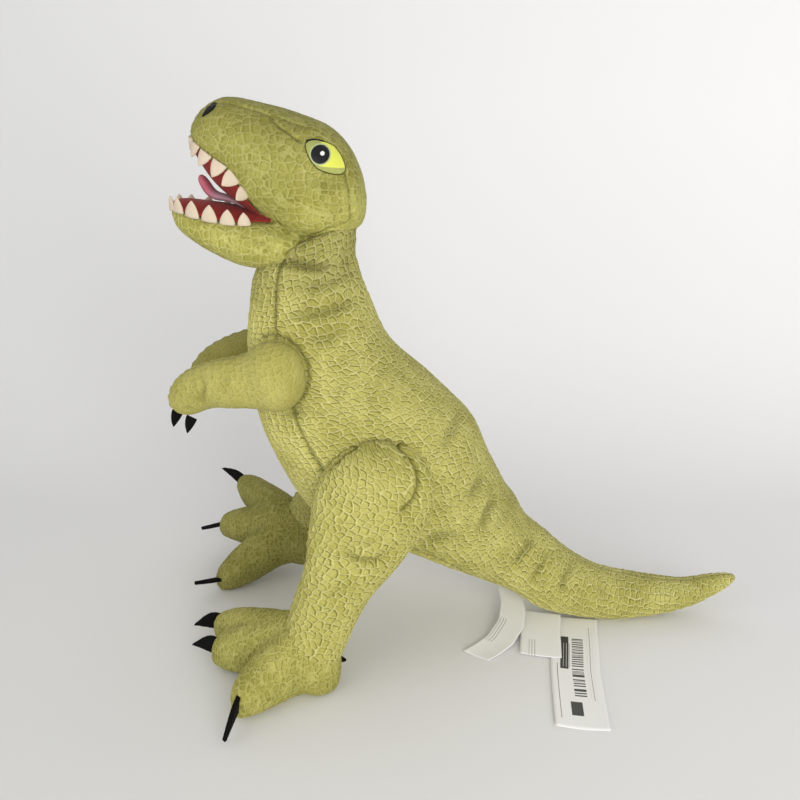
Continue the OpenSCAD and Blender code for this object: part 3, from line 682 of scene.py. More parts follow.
sewn_rows = [s for s in body_rows if s[6] < 140]
tail_rows = [s for s in body_rows if s[6] >= 125]
back_seam = seam_line(body_rows, 0, body_grow)
belly_seams = [seam_line(sewn_rows, lambda s, w=w: w * s[6], body_grow) for w in (1, -1)]
under_seam = seam_line(tail_rows, 180, body_grow)
stuff(body, [back_seam, under_seam] + belly_seams, pressure=3.0, cap=2.5 * MM)
subdivide(body, 2)
sew(body, belly_seams, depth=1.8 * MM, thread=1.3 * MM)
sew(body, [back_seam, under_seam], depth=0.35 * MM, pucker=0.1 * MM, thread=0.4 * MM)
shoulder_arc = [(-145, 242), (-137, 245), (-127, 243), (-119, 237), (-113, 228), (-112, 218), (-115, 207),
                (-122, 198),
                (-133, 193)]
sew(body, [on_side(body, shoulder_arc, side) for side in SIDES.values()], depth=1.6 * MM, thread=1.5 * MM)
body_folds = [
    ([(-137, 291), (-127, 293), (-117, 291), (-105, 289), (-92, 291)], -1, 4.5, 4.5),
    ([(-128, 261), (-117, 259), (-104, 260), (-90, 263), (-79, 266)], -1, 3.0, 5),
    ([(-124, 279), (-110, 277), (-96, 279), (-83, 285)], -1, 2.4, 5),
    ([(-90, 293), (-84, 288), (-82, 278)], -1, 1.8, 5),
    ([(-117, 241), (-100, 244), (-87, 251)], -1, 2.0, 6),
    ([(-97, 269), (-87, 272), (-77, 276)], 1, 2.4, 6),
    ([(-22, 163), (-14, 173), (-7, 183)], -1, 2.4, 6),
    ([(8, 99), (14, 112), (21, 121)], -1, 3.9, 4.5),
    ([(-2, 121), (5, 131), (12, 139)], -1, 3.0, 5),
    ([(50, 43), (57, 58), (67, 71)], -1, 3.9, 4.0),
    ([(36, 60), (43, 72), (52, 82)], -1, 3.0, 4.5),
    ([(73, 35), (80, 48), (87, 56)], -1, 2.7, 4.0),
    ([(106, 24), (113, 34), (119, 42)], -1, 1.8, 4.0),
    ([(-35, 92), (-21, 98), (-5, 96)], -1, 2.4, 6),
    ([(-135, 186), (-125, 192), (-111, 193)], -1, 2.4, 6),
]
crease(body, body_folds)
lumps(body, 42 * MM, 1.6 * MM, 1)
# Painted light and shade: the neck under the head and the upward faces darker, the forward faces of the lower
# body lighter.
paint_light_and_shade(body, lambda p, n: -0.22 * np.clip((p[:, 2] - 262) / 30, 0, 1) - 0.08 * np.clip(n[:, 2], 0, 1)
     + 0.2 * np.clip(-n[:, 0], 0, 1) * (p[:, 2] < 262))
emboss(body, body_plush, stretch=BODY_STRETCH)
print("body has", len(body.data.polygons), "faces")

# %% [markdown]
# The cut falls where the tail starts to bend. Both halves keep the normals of the whole, so no line shows.

# %% Cut the body in two
TAIL_CUT = (22, 88)
TAIL_WAY = (0.80, -0.60)


def split_at(piece, names, point, way):
    """Cuts a piece between faces into two, each with the whole piece's normals."""
    mesh = piece.data
    centre = place((point[0], 0, point[1]))[0]
    mesh.update()
    own = normals(piece)
    polygons = len(mesh.polygons)
    mid = np.zeros(polygons * 3, np.float32)
    mesh.polygons.foreach_get("center", mid)
    mid = mid.reshape(-1, 3)
    beyond = (mid[:, 0] - centre[0]) * way[0] + (mid[:, 2] - centre[2]) * way[1] > 0
    pieces = []
    for name, keep in zip(names, (~beyond, beyond)):
        bm = bmesh.new()
        bm.from_mesh(mesh)
        bm.faces.ensure_lookup_table()
        tag = bm.verts.layers.int.new("whole")
        for i, v in enumerate(bm.verts):
            v[tag] = i
        bmesh.ops.delete(bm, geom=[f for f, k in zip(bm.faces, keep) if not k], context="FACES")
        part = bpy.data.meshes.new(name)
        bm.to_mesh(part)
        bm.free()
        index = np.zeros(len(part.vertices), np.int32)
        part.attributes["whole"].data.foreach_get("value", index)
        part.attributes.remove(part.attributes["whole"])
        part.normals_split_custom_set_from_vertices([tuple(own[i]) for i in index])
        part.materials.clear()
        part.materials.append(mesh.materials[0])
        half = bpy.data.objects.new(name, part)
        bpy.context.scene.collection.objects.link(half)
        pieces.append(half)
    bpy.data.objects.remove(piece)
    return pieces


torso_cover, tail_cover = split_at(body, ("torso_cover", "tail_cover"), TAIL_CUT, TAIL_WAY)
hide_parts("torso_stuffing", "left_side_panel", "right_side_panel", "belly_panel",
            "neck_sleeve")
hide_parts("tail_root_sleeve", "tail_stuffing", "tail_skin_left", "tail_skin_right")
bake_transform(torso_cover)
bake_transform(tail_cover)

# %% [markdown]
# ## Legs
# A leg is one folded panel. Its thigh is a flat drum that is sewn to the torso's side along an arc, and the
# tube below it narrows to the ankle. The shape is symmetric in the drawing's own terms, so one function
# makes both, from the hip and ankle joints.

# %% Legs
HIP_OUT = 45
THIGH, SHIN, ANKLE = 41, 26, 22.5
leg_shape = [
    (-1.13, 0.06, 0.10, 0.25), (-1.0, 0.45, 0.5, 0.25), (-0.74, 0.77, 0.75, 0.26), (-0.34, 0.96, 0.95, 0.28),
    (0.12, 1, 1, 0.32), (0.52, 0.93, 1, 0.4),
]
shin_shape = [(0.4, 0.52, 0.5), (0.58, 0.12, 0.65), (0.78, 0.1, 0.82), (1, 0, 1), (1.12, 0, 1.06)]
thigh_arc = [(-98, 157), (-91, 165), (-82, 171), (-71, 174.5), (-60, 175), (-50, 171.5), (-42, 165),
             (-37, 156),
             (-37, 146), (-41, 138), (-48, 132)]


def leg_stations(side, foot):
    way = np.array([foot[0] - hip[0], foot[2] - hip[2]])
    step = THIGH / np.hypot(*way)
    out = abs(foot[1]) - HIP_OUT
    rows = [across(hip[0] + way[0] * step * a, side * (HIP_OUT + out * o), hip[2] + way[1] * step * a, way,
                   THIGH * deep, SHIN * wide) for a, deep, wide, o in leg_shape]
    for a, extra, o in shin_shape:
        low = between(ANKLE, SHIN, (1 - a) * 2)
        deep = between(SHIN, THIGH, extra) if a < 0.7 else low
        rows.append(across(hip[0] + way[0] * a, side * (HIP_OUT + out * o), hip[2] + way[1] * a, way, deep,
                           SHIN if a < 0.7 else low))
    return rows


leg_folds = {
    "left": [([(-91, 108), (-83, 103), (-75, 100), (-66, 99), (-56, 103)], -1, 3.4, 3.2),
             ([(-84, 117), (-75, 113), (-66, 112), (-57, 115)], -1, 1.2, 4),
             ([(-108, 84), (-94, 80), (-80, 82)], -1, 0.9, 5),
             ([(-106, 62), (-96, 58), (-88, 60)], -1, 1.0, 4)],
    "right": [([(-104, 104), (-92, 98), (-80, 96), (-68, 99)], 1, 2.4, 4.5),
              ([(-100, 118), (-88, 112), (-74, 110)], 1, 1.6, 5),
              ([(-122, 64), (-108, 62), (-94, 70)], 1, 1.2, 5)],
}
ankles = {name: drawn(joints[name + "_ankle"]["pos_m"]) for name in SIDES}
for name, side in SIDES.items():
    foot = ankles[name]
    rows = through(leg_stations(side, foot), 36)
    leg = loft(name + "_leg_cover", rows, 48, limb_plush)
    seams = [seam_line(rows, 180)]
    stuff(leg, seams, pressure=3.0, cap=2.5 * MM)
    subdivide(leg, 2)
    sew(leg, seams, depth=0.9 * MM)
    sew(leg, [on_side(leg, thigh_arc, side)], depth=3.6 * MM, width=2.6 * MM, pucker=0.4 * MM,
        pitch=11 * MM, thread=1.5 * MM)
    crease(leg, leg_folds[name])
    lumps(leg, 30 * MM, 1.4 * MM, 3 + side)
    # Painted shade: the top of the thigh darker where it meets the body, and the far leg darker.
    paint_light_and_shade(leg, lambda p, n: 0.02 - 0.12 * np.clip((p[:, 2] - 150) / 20, 0, 1) - (0.25 if side > 0 else 0))
    emboss(leg, limb_plush, stretch=BODY_STRETCH)
    way = np.array([hip[0] - foot[0], 0, hip[2] - foot[2]])
    way /= np.linalg.norm(way)
    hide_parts(name + "_leg_stuffing", name + "_leg_skin", name + "_ankle_cuff")
    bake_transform(leg)
    print(leg.name, len(leg.data.polygons), "faces")

# %% [markdown]
# ## Arms
# Each arm is a round shoulder that runs into a short forearm and a soft paw.

# %% Arms
SHOULDER_OUT = 35.9
SHOULDER, FOREARM = 26, 16.5
arm_path = [
    (-114, 14, 219, SHOULDER * 0.16), (-117, 14, 219, SHOULDER * 0.55), (-126, 14, 219, SHOULDER * 0.87),
    (-138, 14, 218, SHOULDER * 0.94), (-152, 12, 214.5, between(SHOULDER, FOREARM, 0.72)),
    (-169, 9, 212, FOREARM * 1.06), (-182, 4, 209, FOREARM * 0.98), (-194, -2, 203.5, FOREARM * 0.94),
    (-203, -6, 196, FOREARM * 0.82), (-208.5, -8, 189.5, FOREARM * 0.58), (-211, -8, 186, FOREARM * 0.22),
]
for name, side in SIDES.items():
    stations = []
    for i, (x, out, z, r) in enumerate(arm_path):
        a, b = arm_path[max(i - 1, 0)], arm_path[min(i + 1, len(arm_path) - 1)]
        stations.append(across(x, side * (SHOULDER_OUT + out), z, (b[0] - a[0], b[2] - a[2]), r, r))
    rows = through(stations, 28)
    arm = loft(name + "_arm_cover", rows, 36, arm_plush)
    seams = [seam_line(rows, 180)]
    stuff(arm, seams, pressure=3.0, cap=1.6 * MM)
    subdivide(arm, 2)
    sew(arm, seams, depth=0.8 * MM)
    crease(arm, [([(-186, 222), (-183, 212), (-186, 202), (-190, 196)], side, 2.2, 3.2),
                 ([(-166, 226), (-168, 216), (-166, 204)], side, 0.8, 5),
                 ([(-202, 190), (-197, 193), (-193, 190)], side, 1.0, 3)])
    lumps(arm, 20 * MM, 0.8 * MM, 6 + side)
    # Painted shade: the far arm is darker.
    paint_light_and_shade(arm, lambda p, n: np.full(len(p), -0.3 if side > 0 else 0))
    emboss(arm, arm_plush, size=5.2 * MM, rise=0.2 * MM)
    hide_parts(name + "_arm_stuffing", name + "_arm_skin")
    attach(arm, name + "_arm")

# %% [markdown]
# ## Feet
# A foot is three toes and a heel in one cover. The toes run into each other, so a loft can't make it: the
# three are joined as a voxel skin, smoothed, blown up, and flattened where they stand.

# %% Feet
TOE_LENGTH, TOE_WIDTH, FOOT_HEIGHT = 80, 34, 43
FOOT_BACK, FOOT_ROLL, FOOT_LIFT = 10, 26, 8
foot_out = {"left": 1, "right": 6}
toe_shape = [
    (-0.3, 0.4, 0.5), (-0.24, 0.9, 0.85), (-0.1, 1.25, 1.15), (0.12, 1.2, 1.2), (0.3, 1.0, 1.1),
    (0.52, 0.92, 0.95), (0.75, 0.8, 0.76), (0.92, 0.56, 0.56), (0.99, 0.34, 0.36), (1.01, 0.1, 0.12),
]
toes = {"left": [(35, 1.12), (14, 0.9), (-46, 0.76)], "right": [(37, 1.0), (-12, 0.92), (-48, 1.13)]}


def foot_matrix(name, side):
    """Carries a foot from its own middle to its place. The right foot rolls on to its inner edge."""
    at = ankles[name]
    move = Matrix.Translation((at[0] - FOOT_BACK, at[1] + side * foot_out[name], 0))
    if side > 0:
        move = move @ Matrix.Translation((0, -20, FOOT_LIFT)) @ Matrix.Rotation(math.radians(FOOT_ROLL), 4,
            "X") \
            @ Matrix.Translation((0, 22, 0))
    return move


def toe_stations(length):
    rows = []
    for a, wide, high in toe_shape:
        top = FOOT_HEIGHT * high
        low = (FOOT_HEIGHT - top) * 0.16
        rows.append([-length * a, low + top, -length * a, low - 1.2, TOE_WIDTH / 2 * wide, 0, 90])
    return rows


def join(name, parts, material):
    """One mesh from several lists of (points, faces)."""
    points, faces, n = [], [], 0
    for p, f in parts:
        points += list(p)
        faces += [[i + n for i in face] for face in f]
        n += len(p)
    return new_piece(name, points, faces, material)


def remesh(piece, voxel, smooth=4):
    m = piece.modifiers.new("one_skin", "REMESH")
    m.mode, m.voxel_size, m.use_smooth_shade = "VOXEL", voxel, True
    s = piece.modifiers.new("softened", "SMOOTH")
    s.factor, s.iterations = 0.5, smooth
    return bake(piece)


def remember_rest(piece):
    rest = piece.data.attributes.new("rest", "FLOAT_VECTOR", "POINT")
    rest.data.foreach_set("vector", coords(piece).astype(np.float32).ravel())
    return piece


for name, side in SIDES.items():
    matrix = foot_matrix(name, side)
    parts = []
    for turn, share in toes[name]:
        rows = through(toe_stations(TOE_LENGTH * share), 22)
        toe = loft("toe", rows, 24, foot_plush)
        spin = matrix @ Matrix.Rotation(math.radians(side * turn), 4, "Z")
        points = [spin @ Vector(drawn(p)) for p in coords(toe)]
        parts.append((place(points), [tuple(p.vertices) for p in toe.data.polygons]))
        bpy.data.objects.remove(toe)
    foot = join(name + "_foot_cover", parts, foot_plush)
    remesh(foot, 2.6 * MM, 6)
    stuff(foot, [], pressure=2.0, cap=1.5 * MM, frames=10)
    flat = matrix.inverted()
    points = np.array([flat @ Vector(drawn(p)) for p in coords(foot)])
    points[:, 2] = np.maximum(points[:, 2], 0.3)
    points = np.array([matrix @ Vector(p) for p in points])
    points[:, 2] = np.maximum(points[:, 2], 0.2)
    move_to(foot, place(points))
    subdivide(foot, 1)
    lumps(foot, 16 * MM, 0.9 * MM, 9 + side)
    # Painted shade: the far foot is darker, as it lies in the near leg's shadow; the near foot is a little
    # lighter.
    paint_light_and_shade(foot, lambda p, n: np.full(len(p), -0.3 if side > 0 else 0.02))
    remember_rest(foot)
    emboss(foot, foot_plush, flat=False, size=5 * MM, stretch=(1.35, 0.8, 1.1), rise=0.4 * MM)
    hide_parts(name + "_foot_stuffing", name + "_foot_skin", name + "_sole")
    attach(foot, name + "_foot")
    print(foot.name, len(foot.data.polygons), "faces")

# %% [markdown]
# ## Head and jaw
# The head and the jaw share their cheeks, so they are one skin. Two lofts are joined by a voxel skin.

# %% Head skin
HEAD_HALF, JAW_HALF = 43, 35.5
head = [
    [-77, 353, -73, 332, HEAD_HALF * 0.42, 0, 150], [-84, 368, -77, 314, HEAD_HALF * 0.78, 0, 165],
    [-98, 381, -96, 305, HEAD_HALF * 0.94, 0, 175], [-119, 389.5, -119, 305, HEAD_HALF, 0, 172],
    [-138, 395, -141, 318, HEAD_HALF * 0.97, 0, 155], [-155, 399, -160, 331, HEAD_HALF * 0.88, 0, 116],
    [-169, 399.5, -174, 343, HEAD_HALF * 0.77, 0, 112], [-180, 393.5, -182.5, 355, HEAD_HALF * 0.63, 0, 112],
    [-186, 386.5, -187.5, 364, HEAD_HALF * 0.45, 0, 112], [-190, 380, -190.5, 372, HEAD_HALF * 0.2, 0, 112],
]
jaw = [
    [-112, 308, -114, 295, JAW_HALF * 0.55, 0, 40], [-123, 315, -126, 288, JAW_HALF * 0.85, 0, 40],
    [-139, 322, -143, 283.5, JAW_HALF * 1.0, 0, 42], [-157, 325, -162, 287, JAW_HALF * 0.98, 0, 54],
    [-174, 328, -180, 294, JAW_HALF * 0.88, 0, 60], [-189, 330, -194, 303, JAW_HALF * 0.71, 0, 63],
    [-201, 331, -204, 311, JAW_HALF * 0.48, 0, 63], [-208, 329, -208.5, 320, JAW_HALF * 0.2, 0, 63],
]
head_rows, jaw_rows = through(head, 44), through(jaw, 34)
parts = []
for rows in (head_rows, jaw_rows):
    form = loft("form", rows, 60, head_plush, outset=-1.2)
    parts.append((coords(form), [tuple(p.vertices) for p in form.data.polygons]))
    bpy.data.objects.remove(form)
face = join("head_cover", parts, head_plush)
remesh(face, 2.2 * MM, 5)
top_seams = [seam_line(head_rows[4:], turn, lambda s: -1.2) for turn in (34, -34)]
cheek_seam = [(-139, 319), (-133, 318), (-126, 313), (-116, 306.5)]
neck_seam = [(-84, 319), (-100, 313.5), (-116, 306.5), (-126, 298)]
gusset_seam = [(-150, 391), (-142, 389), (-135, 386), (-128, 380), (-115, 371)]
back_seam_head = [(-85, 350), (-83, 340), (-83, 328), (-83, 320)]
stuff(face, top_seams, pressure=2.0, cap=1.5 * MM, frames=10)
subdivide(face, 1)
sew(face, top_seams, depth=0.9 * MM, width=1.6 * MM, pucker=0.2 * MM, thread=0.45 * MM)
side_seams = [on_side(face, path, side) for path in (cheek_seam, neck_seam, gusset_seam,
                                                     back_seam_head) for side in SIDES.values()]
sew(face, side_seams, depth=1.5 * MM, width=1.6 * MM, pucker=0.2 * MM, thread=0.75 * MM)
head_folds = []
for side in SIDES.values():
    head_folds += [([(-112, 348), (-99, 343), (-84, 348)], side, 1.0, 5),
                   ([(-150, 310), (-140, 306), (-130, 296)], side, 1.4, 4.5),
                   ([(-120, 374), (-104, 376), (-86, 362)], side, -1.2, 5),
                   ([(-90, 340), (-92, 326), (-100, 314)], side, 0.9, 4)]
crease(face, head_folds)
lumps(face, 24 * MM, 0.9 * MM, 12)
# Painted light and shade: faces that look up are darker and the lower head is lighter.
paint_light_and_shade(face, lambda p,
     n: -0.26 * np.clip(n[:, 2] * 1.4 - 0.1, 0, 1) - 0.06 + 0.26 * np.clip((345 - p[:, 2]) / 30, 0, 1))
remember_rest(face)
emboss(face, head_plush, flat=False, size=5.4 * MM, rise=0.3 * MM)
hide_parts("head_stuffing", "head_side_left", "head_side_right", "head_top_gusset", "jaw_stuffing",
            "jaw_skin")
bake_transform(face)
print("head has", len(face.data.polygons), "faces")

# %% [markdown]
# The palate and the floor of the mouth are one smooth red tricot each. They lie on the skin between the
# lips, just proud of it.

# %% Mouth lining


def lining(name, rows, first, last, outset, columns=48, steps=3):
    """A strip of a loft between two turns, set out from the skin. Its thickness is added afterwards."""
    points = []
    for s in rows:
        turns = np.radians(np.linspace(first(s), last(s), columns))
        points += list(place(ring(s, turns, outset)))
    faces = [(i * columns + k, i * columns + k + 1, (i + 1) * columns + k + 1, (i + 1) * columns + k)
             for i in range(len(rows) - 1) for k in range(columns - 1)]
    piece = new_piece(name, points, faces, mouth_tricot)
    return piece


palate_rows = [s for s in head_rows if s[0] < -134]
palate = lining("palate_lining", palate_rows, lambda s: s[6] + 1, lambda s: 359 - s[6], 1.5)
floor_rows = [s for s in jaw_rows if s[0] < -136]
mouth_floor = lining("mouth_floor_lining", floor_rows, lambda s: -s[6] + 1, lambda s: s[6] - 1, 1.5)
for piece, body_name, node in ((palate, "head", "upper_mouth_lining"),
                               (mouth_floor, "jaw", "lower_mouth_lining")):
    m = piece.modifiers.new("cloth", "SOLIDIFY")
    m.thickness, m.offset = 0.8 * MM, 0
    subdivide(piece, 1)
    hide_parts(node)
    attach(piece, body_name)

# %% [markdown]
# ## Teeth
# The teeth are little felt points, sewn in along the lips. One tooth is a flat rounded wedge, and Geometry
# Nodes sets a copy on each point of the lip, turned and sized by what that point says.

# %% Teeth
TOOTH_HIGH, TOOTH_WIDE = 10.8, 11.2


def tooth_shape():
    """One felt tooth, its root at the origin and its point up, with rounded edges."""
    rings, around = 9, 14
    points = []
    for i in range(rings):
        t = i / (rings - 1)
        wide = TOOTH_WIDE / 2 * (1 - t ** 1.9) ** 0.8
        thick = 1.5 * math.sqrt(1 - t) + 0.3
        if i == rings - 1:
            wide, thick = 0.4, 0.3
        for k in range(around):
            a = 2 * math.pi * k / around
            points.append(((wide * math.cos(a)) * MM, (thick * math.sin(a)) * MM,
                           (TOOTH_HIGH * t - 1.5) * MM))
    faces = [(i * around + k, i * around + (k + 1) % around, (i + 1) * around + (k + 1) % around,
              (i + 1) * around + k) for i in range(rings - 1) for k in range(around)]
    faces += [tuple(range(around))[::-1], tuple((rings - 1) * around + k for k in range(around))]
    return new_piece("one_tooth", points, faces, tooth_felt)


def scatter_tree(model):
    tree = bpy.data.node_groups.new("along_the_lip", "GeometryNodeTree")
    for way in ("INPUT", "OUTPUT"):
        tree.interface.new_socket("Geometry", in_out=way, socket_type="NodeSocketGeometry")
    tree.interface.new_socket("Model", in_out="INPUT", socket_type="NodeSocketObject")
    tree.interface.new_socket("Finish", in_out="INPUT", socket_type="NodeSocketMaterial")
    inside, out = add(tree, "NodeGroupInput"), add(tree, "NodeGroupOutput")
    shape = add(tree, "GeometryNodeObjectInfo", {"Object": inside.outputs["Model"]})
    turn = add(tree, "GeometryNodeInputNamedAttribute", {"Name": "turn"}, data_type="FLOAT_VECTOR")
    size = add(tree, "GeometryNodeInputNamedAttribute", {"Name": "size"}, data_type="FLOAT_VECTOR")

    def pick(node):
        return next(s for s in node.outputs if s.name == "Attribute" and s.enabled)

    rotation = add(tree, "FunctionNodeEulerToRotation", {0: pick(turn)})
    copies = add(tree, "GeometryNodeInstanceOnPoints", {"Points": inside.outputs["Geometry"],
                 "Instance": shape.outputs["Geometry"], "Rotation": rotation.outputs[0], "Scale": pick(size)})
    real = add(tree, "GeometryNodeRealizeInstances", {0: copies.outputs[0]})
    dressed = add(tree, "GeometryNodeSetMaterial",
                  {"Geometry": real.outputs[0], "Material": inside.outputs["Finish"]})
    tree.links.new(dressed.outputs[0], out.inputs[0])
    return tree


def scatter(name, model, finish, points, turns, sizes):
    """A copy of the model on every point, as one plain mesh."""
    piece = new_piece(name, points, [])
    for key, values in (("turn", turns), ("size", sizes)):
        field = piece.data.attributes.new(key, "FLOAT_VECTOR", "POINT")
        field.data.foreach_set("vector", np.array(values, np.float32).ravel())
    tree = scatter_tree(model)
    ids = {item.name: item.identifier for item in tree.interface.items_tree}
    m = piece.modifiers.new("copies", "NODES")
    m.node_group = tree
    m[ids["Model"]], m[ids["Finish"]] = model, finish
    bake(piece)
    piece.data.shade_smooth()
    return piece


def lip_teeth(rows, spots, up, lean):
    """Where the teeth sit on a lip, how they are turned, and how large they are."""
    points, turns, sizes = [], [], []
    for side in SIDES.values():
        line = np.array([ring(s, np.array([math.radians(side * (s[6] + lean))]), 0.6)[0] for s in rows])
        way = np.r_[0, np.cumsum(np.linalg.norm(np.diff(line, axis=0), axis=1))]
        for share, size, tilt in spots:
            at = share * way[-1]
            p = np.array([np.interp(at, way, line[:, k]) for k in range(3)])
            ahead = np.array([np.interp(min(at + 3, way[-1]), way, line[:, k]) for k in range(3)])
            behind = np.array([np.interp(max(at - 3, 0), way, line[:, k]) for k in range(3)])
            x_axis = Vector(ahead - behind).normalized()
            z_axis = Vector((math.sin(math.radians(tilt)), side * 0.22, up)).normalized()
            y_axis = z_axis.cross(x_axis).normalized()
            z_axis = x_axis.cross(y_axis).normalized()
            turns.append(Matrix((x_axis, y_axis, z_axis)).transposed().to_euler())
            points.append(place(p)[0])
            sizes.append((size, 1, size))
    return points, turns, sizes


one_tooth = tooth_shape()
upper_rows = [s for s in head_rows if s[0] < -146]
lower_rows = [s for s in jaw_rows if s[0] < -147]
upper_spots = [(0.02, 0.85, 0), (0.2, 0.98, 0), (0.38, 1.0, 0), (0.56, 0.92, 0), (0.73, 0.86, 0),
               (0.88, 0.8, 0)]
lower_spots = [(0.05, 0.8, 0), (0.22, 0.95, 0), (0.41, 1.05, 0), (0.61, 1.05, 0), (0.8, 0.95, 0),
               (0.94, 0.9, 0)]
for name, rows, spots, up, body_name, lean in (("upper_felt_teeth", upper_rows, upper_spots, -1, "head", 0),
                                               ("lower_felt_teeth", lower_rows, lower_spots, 1, "jaw", 0)):
    piece = scatter(name, one_tooth, tooth_felt, *lip_teeth(rows, spots, up, lean))
    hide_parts(name.replace("_felt", ""))
    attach(piece, body_name)
bpy.data.objects.remove(one_tooth)

# %% [markdown]
# ## Claws and tongue
# All are cut from felt. The hand claws keep the frame's flat shapes, and a fine voxel skin rounds their cut
# edges as felt rounds. The tongue and the foot claws are drawn here, because they curl and taper more than
# the frame's plain solids do.

# %% Felt pieces


def softened(node, name, material, voxel):
    """A copy of a frame part with its sharp edges rounded."""
    bm = bmesh.new()
    bm.from_mesh(frame["nodes"][node].data)
    bmesh.ops.remove_doubles(bm, verts=bm.verts, dist=1e-6)
    mesh = bpy.data.meshes.new(name)
    bm.to_mesh(mesh)
    bm.free()
    piece = bpy.data.objects.new(name, mesh)
    bpy.context.scene.collection.objects.link(piece)
    remesh(piece, voxel, 5)
    piece.data.materials.clear()
    piece.data.materials.append(material)
    return piece


tongue_path = [(-187.6, 348.5, 0.8, 1.5), (-187, 346.5, 2.6, 4.5), (-184.5, 342, 3.4, 6.5),
               (-181.5, 337.4, 3.4, 7),
               (-177, 334.4, 3, 7), (-170, 333, 2.4, 7.5), (-163, 330.6, 2, 8), (-155, 326.5, 1.8, 8)]
stations = []
for i, (x, z, deep, wide) in enumerate(tongue_path):
    a, b = tongue_path[max(i - 1, 0)], tongue_path[min(i + 1, len(tongue_path) - 1)]
    stations.append(across(x, 0, z, (b[0] - a[0], b[1] - a[1]), deep, wide))
tongue = loft("felt_tongue", through(stations, 30), 24, tongue_felt)
subdivide(tongue, 1)
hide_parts("tongue")
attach(tongue, "tongue")


def claw(root, yaw, pitch, twist, length, wide, thick=3.4):
    """The points and faces of one flat felt claw. Its top edge is round and its underside hollow."""
    upper = [(t * length,
              wide * (0.5 * (1 - t) + 0.42 * math.sin(math.pi * t) * (1 - 0.6 * t)) - 0.12 * wide * t)
             for t in np.linspace(0, 1, 12)]
    lower = [(t * length, -wide * 0.5 * (1 - t) ** 1.3 - 0.12 * wide * t) for t in np.linspace(0.92, 0, 11)]
    outline = upper + lower
    turn = Matrix.Rotation(math.radians(yaw), 3, "Z") @ Matrix.Rotation(math.radians(pitch), 3, "Y") \
        @ Matrix.Rotation(math.radians(twist), 3, "X")
    points = [Vector(root) + turn @ Vector((-x, w, z)) for w in (-thick / 2, thick / 2) for x, z in outline]
    n = len(outline)
    faces = [tuple(range(n)), tuple(range(2 * n - 1, n - 1, -1))]
    faces += [(i, i + n, (i + 1) % n + n, (i + 1) % n) for i in range(n)]
    return place(points), faces


def toe_end(name, side, turn, share, back=5):
    """The middle of a toe's end, a little inside the toe."""
    reach = TOE_LENGTH * share - back
    spot = Matrix.Rotation(math.radians(side * turn), 4, "Z") @ Vector((-reach, 0, FOOT_HEIGHT * 0.38))
    return foot_matrix(name, side) @ spot


# yaw, pitch, twist, length and width, for the inner, middle and outer toe and then the heel
foot_claws = {
    "left": [(-6, -6, 0, 24, 14), (-14, 2, 0, 22, 14), (78, -20, 8, 30, 12)],
    "right": [(30, 6, 70, 25, 9), (-4, -16, 74, 25, 9), (-26, 24, 10, 27, 12)],
}
heel_claws = {"left": ((-103, -82, 15), 180, 0, 0, 15, 9), "right": ((-118, 84, 30), 180, 0, 0, 13, 9)}
for name, side in SIDES.items():
    parts = [claw(toe_end(name, side, *toe), *shape) for toe, shape in zip(toes[name], foot_claws[name])]
    parts.append(claw(*heel_claws[name]))
    piece = join(name + "_felt_foot_claws", parts, claw_felt)
    face_out(piece)
    remesh(piece, 0.6 * MM, 5)
    move_to(piece, np.maximum(coords(piece), (-9, -9, 0.3 * MM)))
    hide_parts(name + "_foot_claws")
    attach(piece, name + "_foot")
    hand = softened(name + "_hand_claws", name + "_felt_hand_claws", claw_felt, 0.55 * MM)
    move_to(hand, coords(hand) + np.array([3.0, 0, -4.5]) * MM)
    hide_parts(name + "_hand_claws")
    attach(hand, name + "_arm")

# %% [markdown]
# ## Eyes and nostrils
# Both are embroidered: a patch of satin stitch lies on the skin. Round the eye goes a cord of olive thread, with
# black thread along one corner.

# %% Eye and nostril patches
skin = BVHTree.FromPolygons([v.co for v in face.data.vertices], [p.vertices for p in face.data.polygons])


def patch(name, outline, centre, side, rise, material, rings=12):
    """A domed patch on the side of the head, from an outline in the side view."""
    points, faces = [], []
    n = len(outline)
    cx, cz = centre
    for r in range(rings + 1):
        share = r / rings
        for x, z in outline:
            p = place((cx + (x - cx) * share, side * 120, cz + (z - cz) * share))[0]
            hit, normal, _, _ = skin.ray_cast(Vector(p), Vector((0, -side, 0)))
            lift = rise * (1 - share ** 4) + 0.25
            points.append(hit + normal * lift * MM)
    for r in range(rings):
        for k in range(n):
            a, b = r * n + k, r * n + (k + 1) % n
            quad = (a, b, b + n, a + n)
            faces.append(quad if side < 0 else quad[::-1])
    piece = new_piece(name, points, faces, material)
    layer = piece.data.attributes.new("sewn", "FLOAT_VECTOR", "POINT")
    flat = [(drawn(p)[0] - cx, drawn(p)[2] - cz, 0) for p in points]
    layer.data.foreach_set("vector", np.array(flat, np.float32).ravel())
    return piece


def eye_outline(count=40):
    """An almond, in millimetres round its middle, tilted along the brow."""
    tilt = math.radians(EYE_TILT)
    out = []
    for k in range(count):
        a = 2 * math.pi * k / count
        x, z = EYE_LONG / 2 * math.cos(a), EYE_TALL / 2 * math.sin(a) * (1 - 0.25 * abs(math.cos(a)))
        out.append((EYE[0] + x * math.cos(tilt) - z * math.sin(tilt),
                    EYE[1] + x * math.sin(tilt) + z * math.cos(tilt)))
    return out


EYE, EYE_TILT, EYE_LONG, EYE_TALL = (-98, 360.5), -38, 30, 17
PUPIL, PUPIL_SIZE = (-3.0, 1.8), 5.9


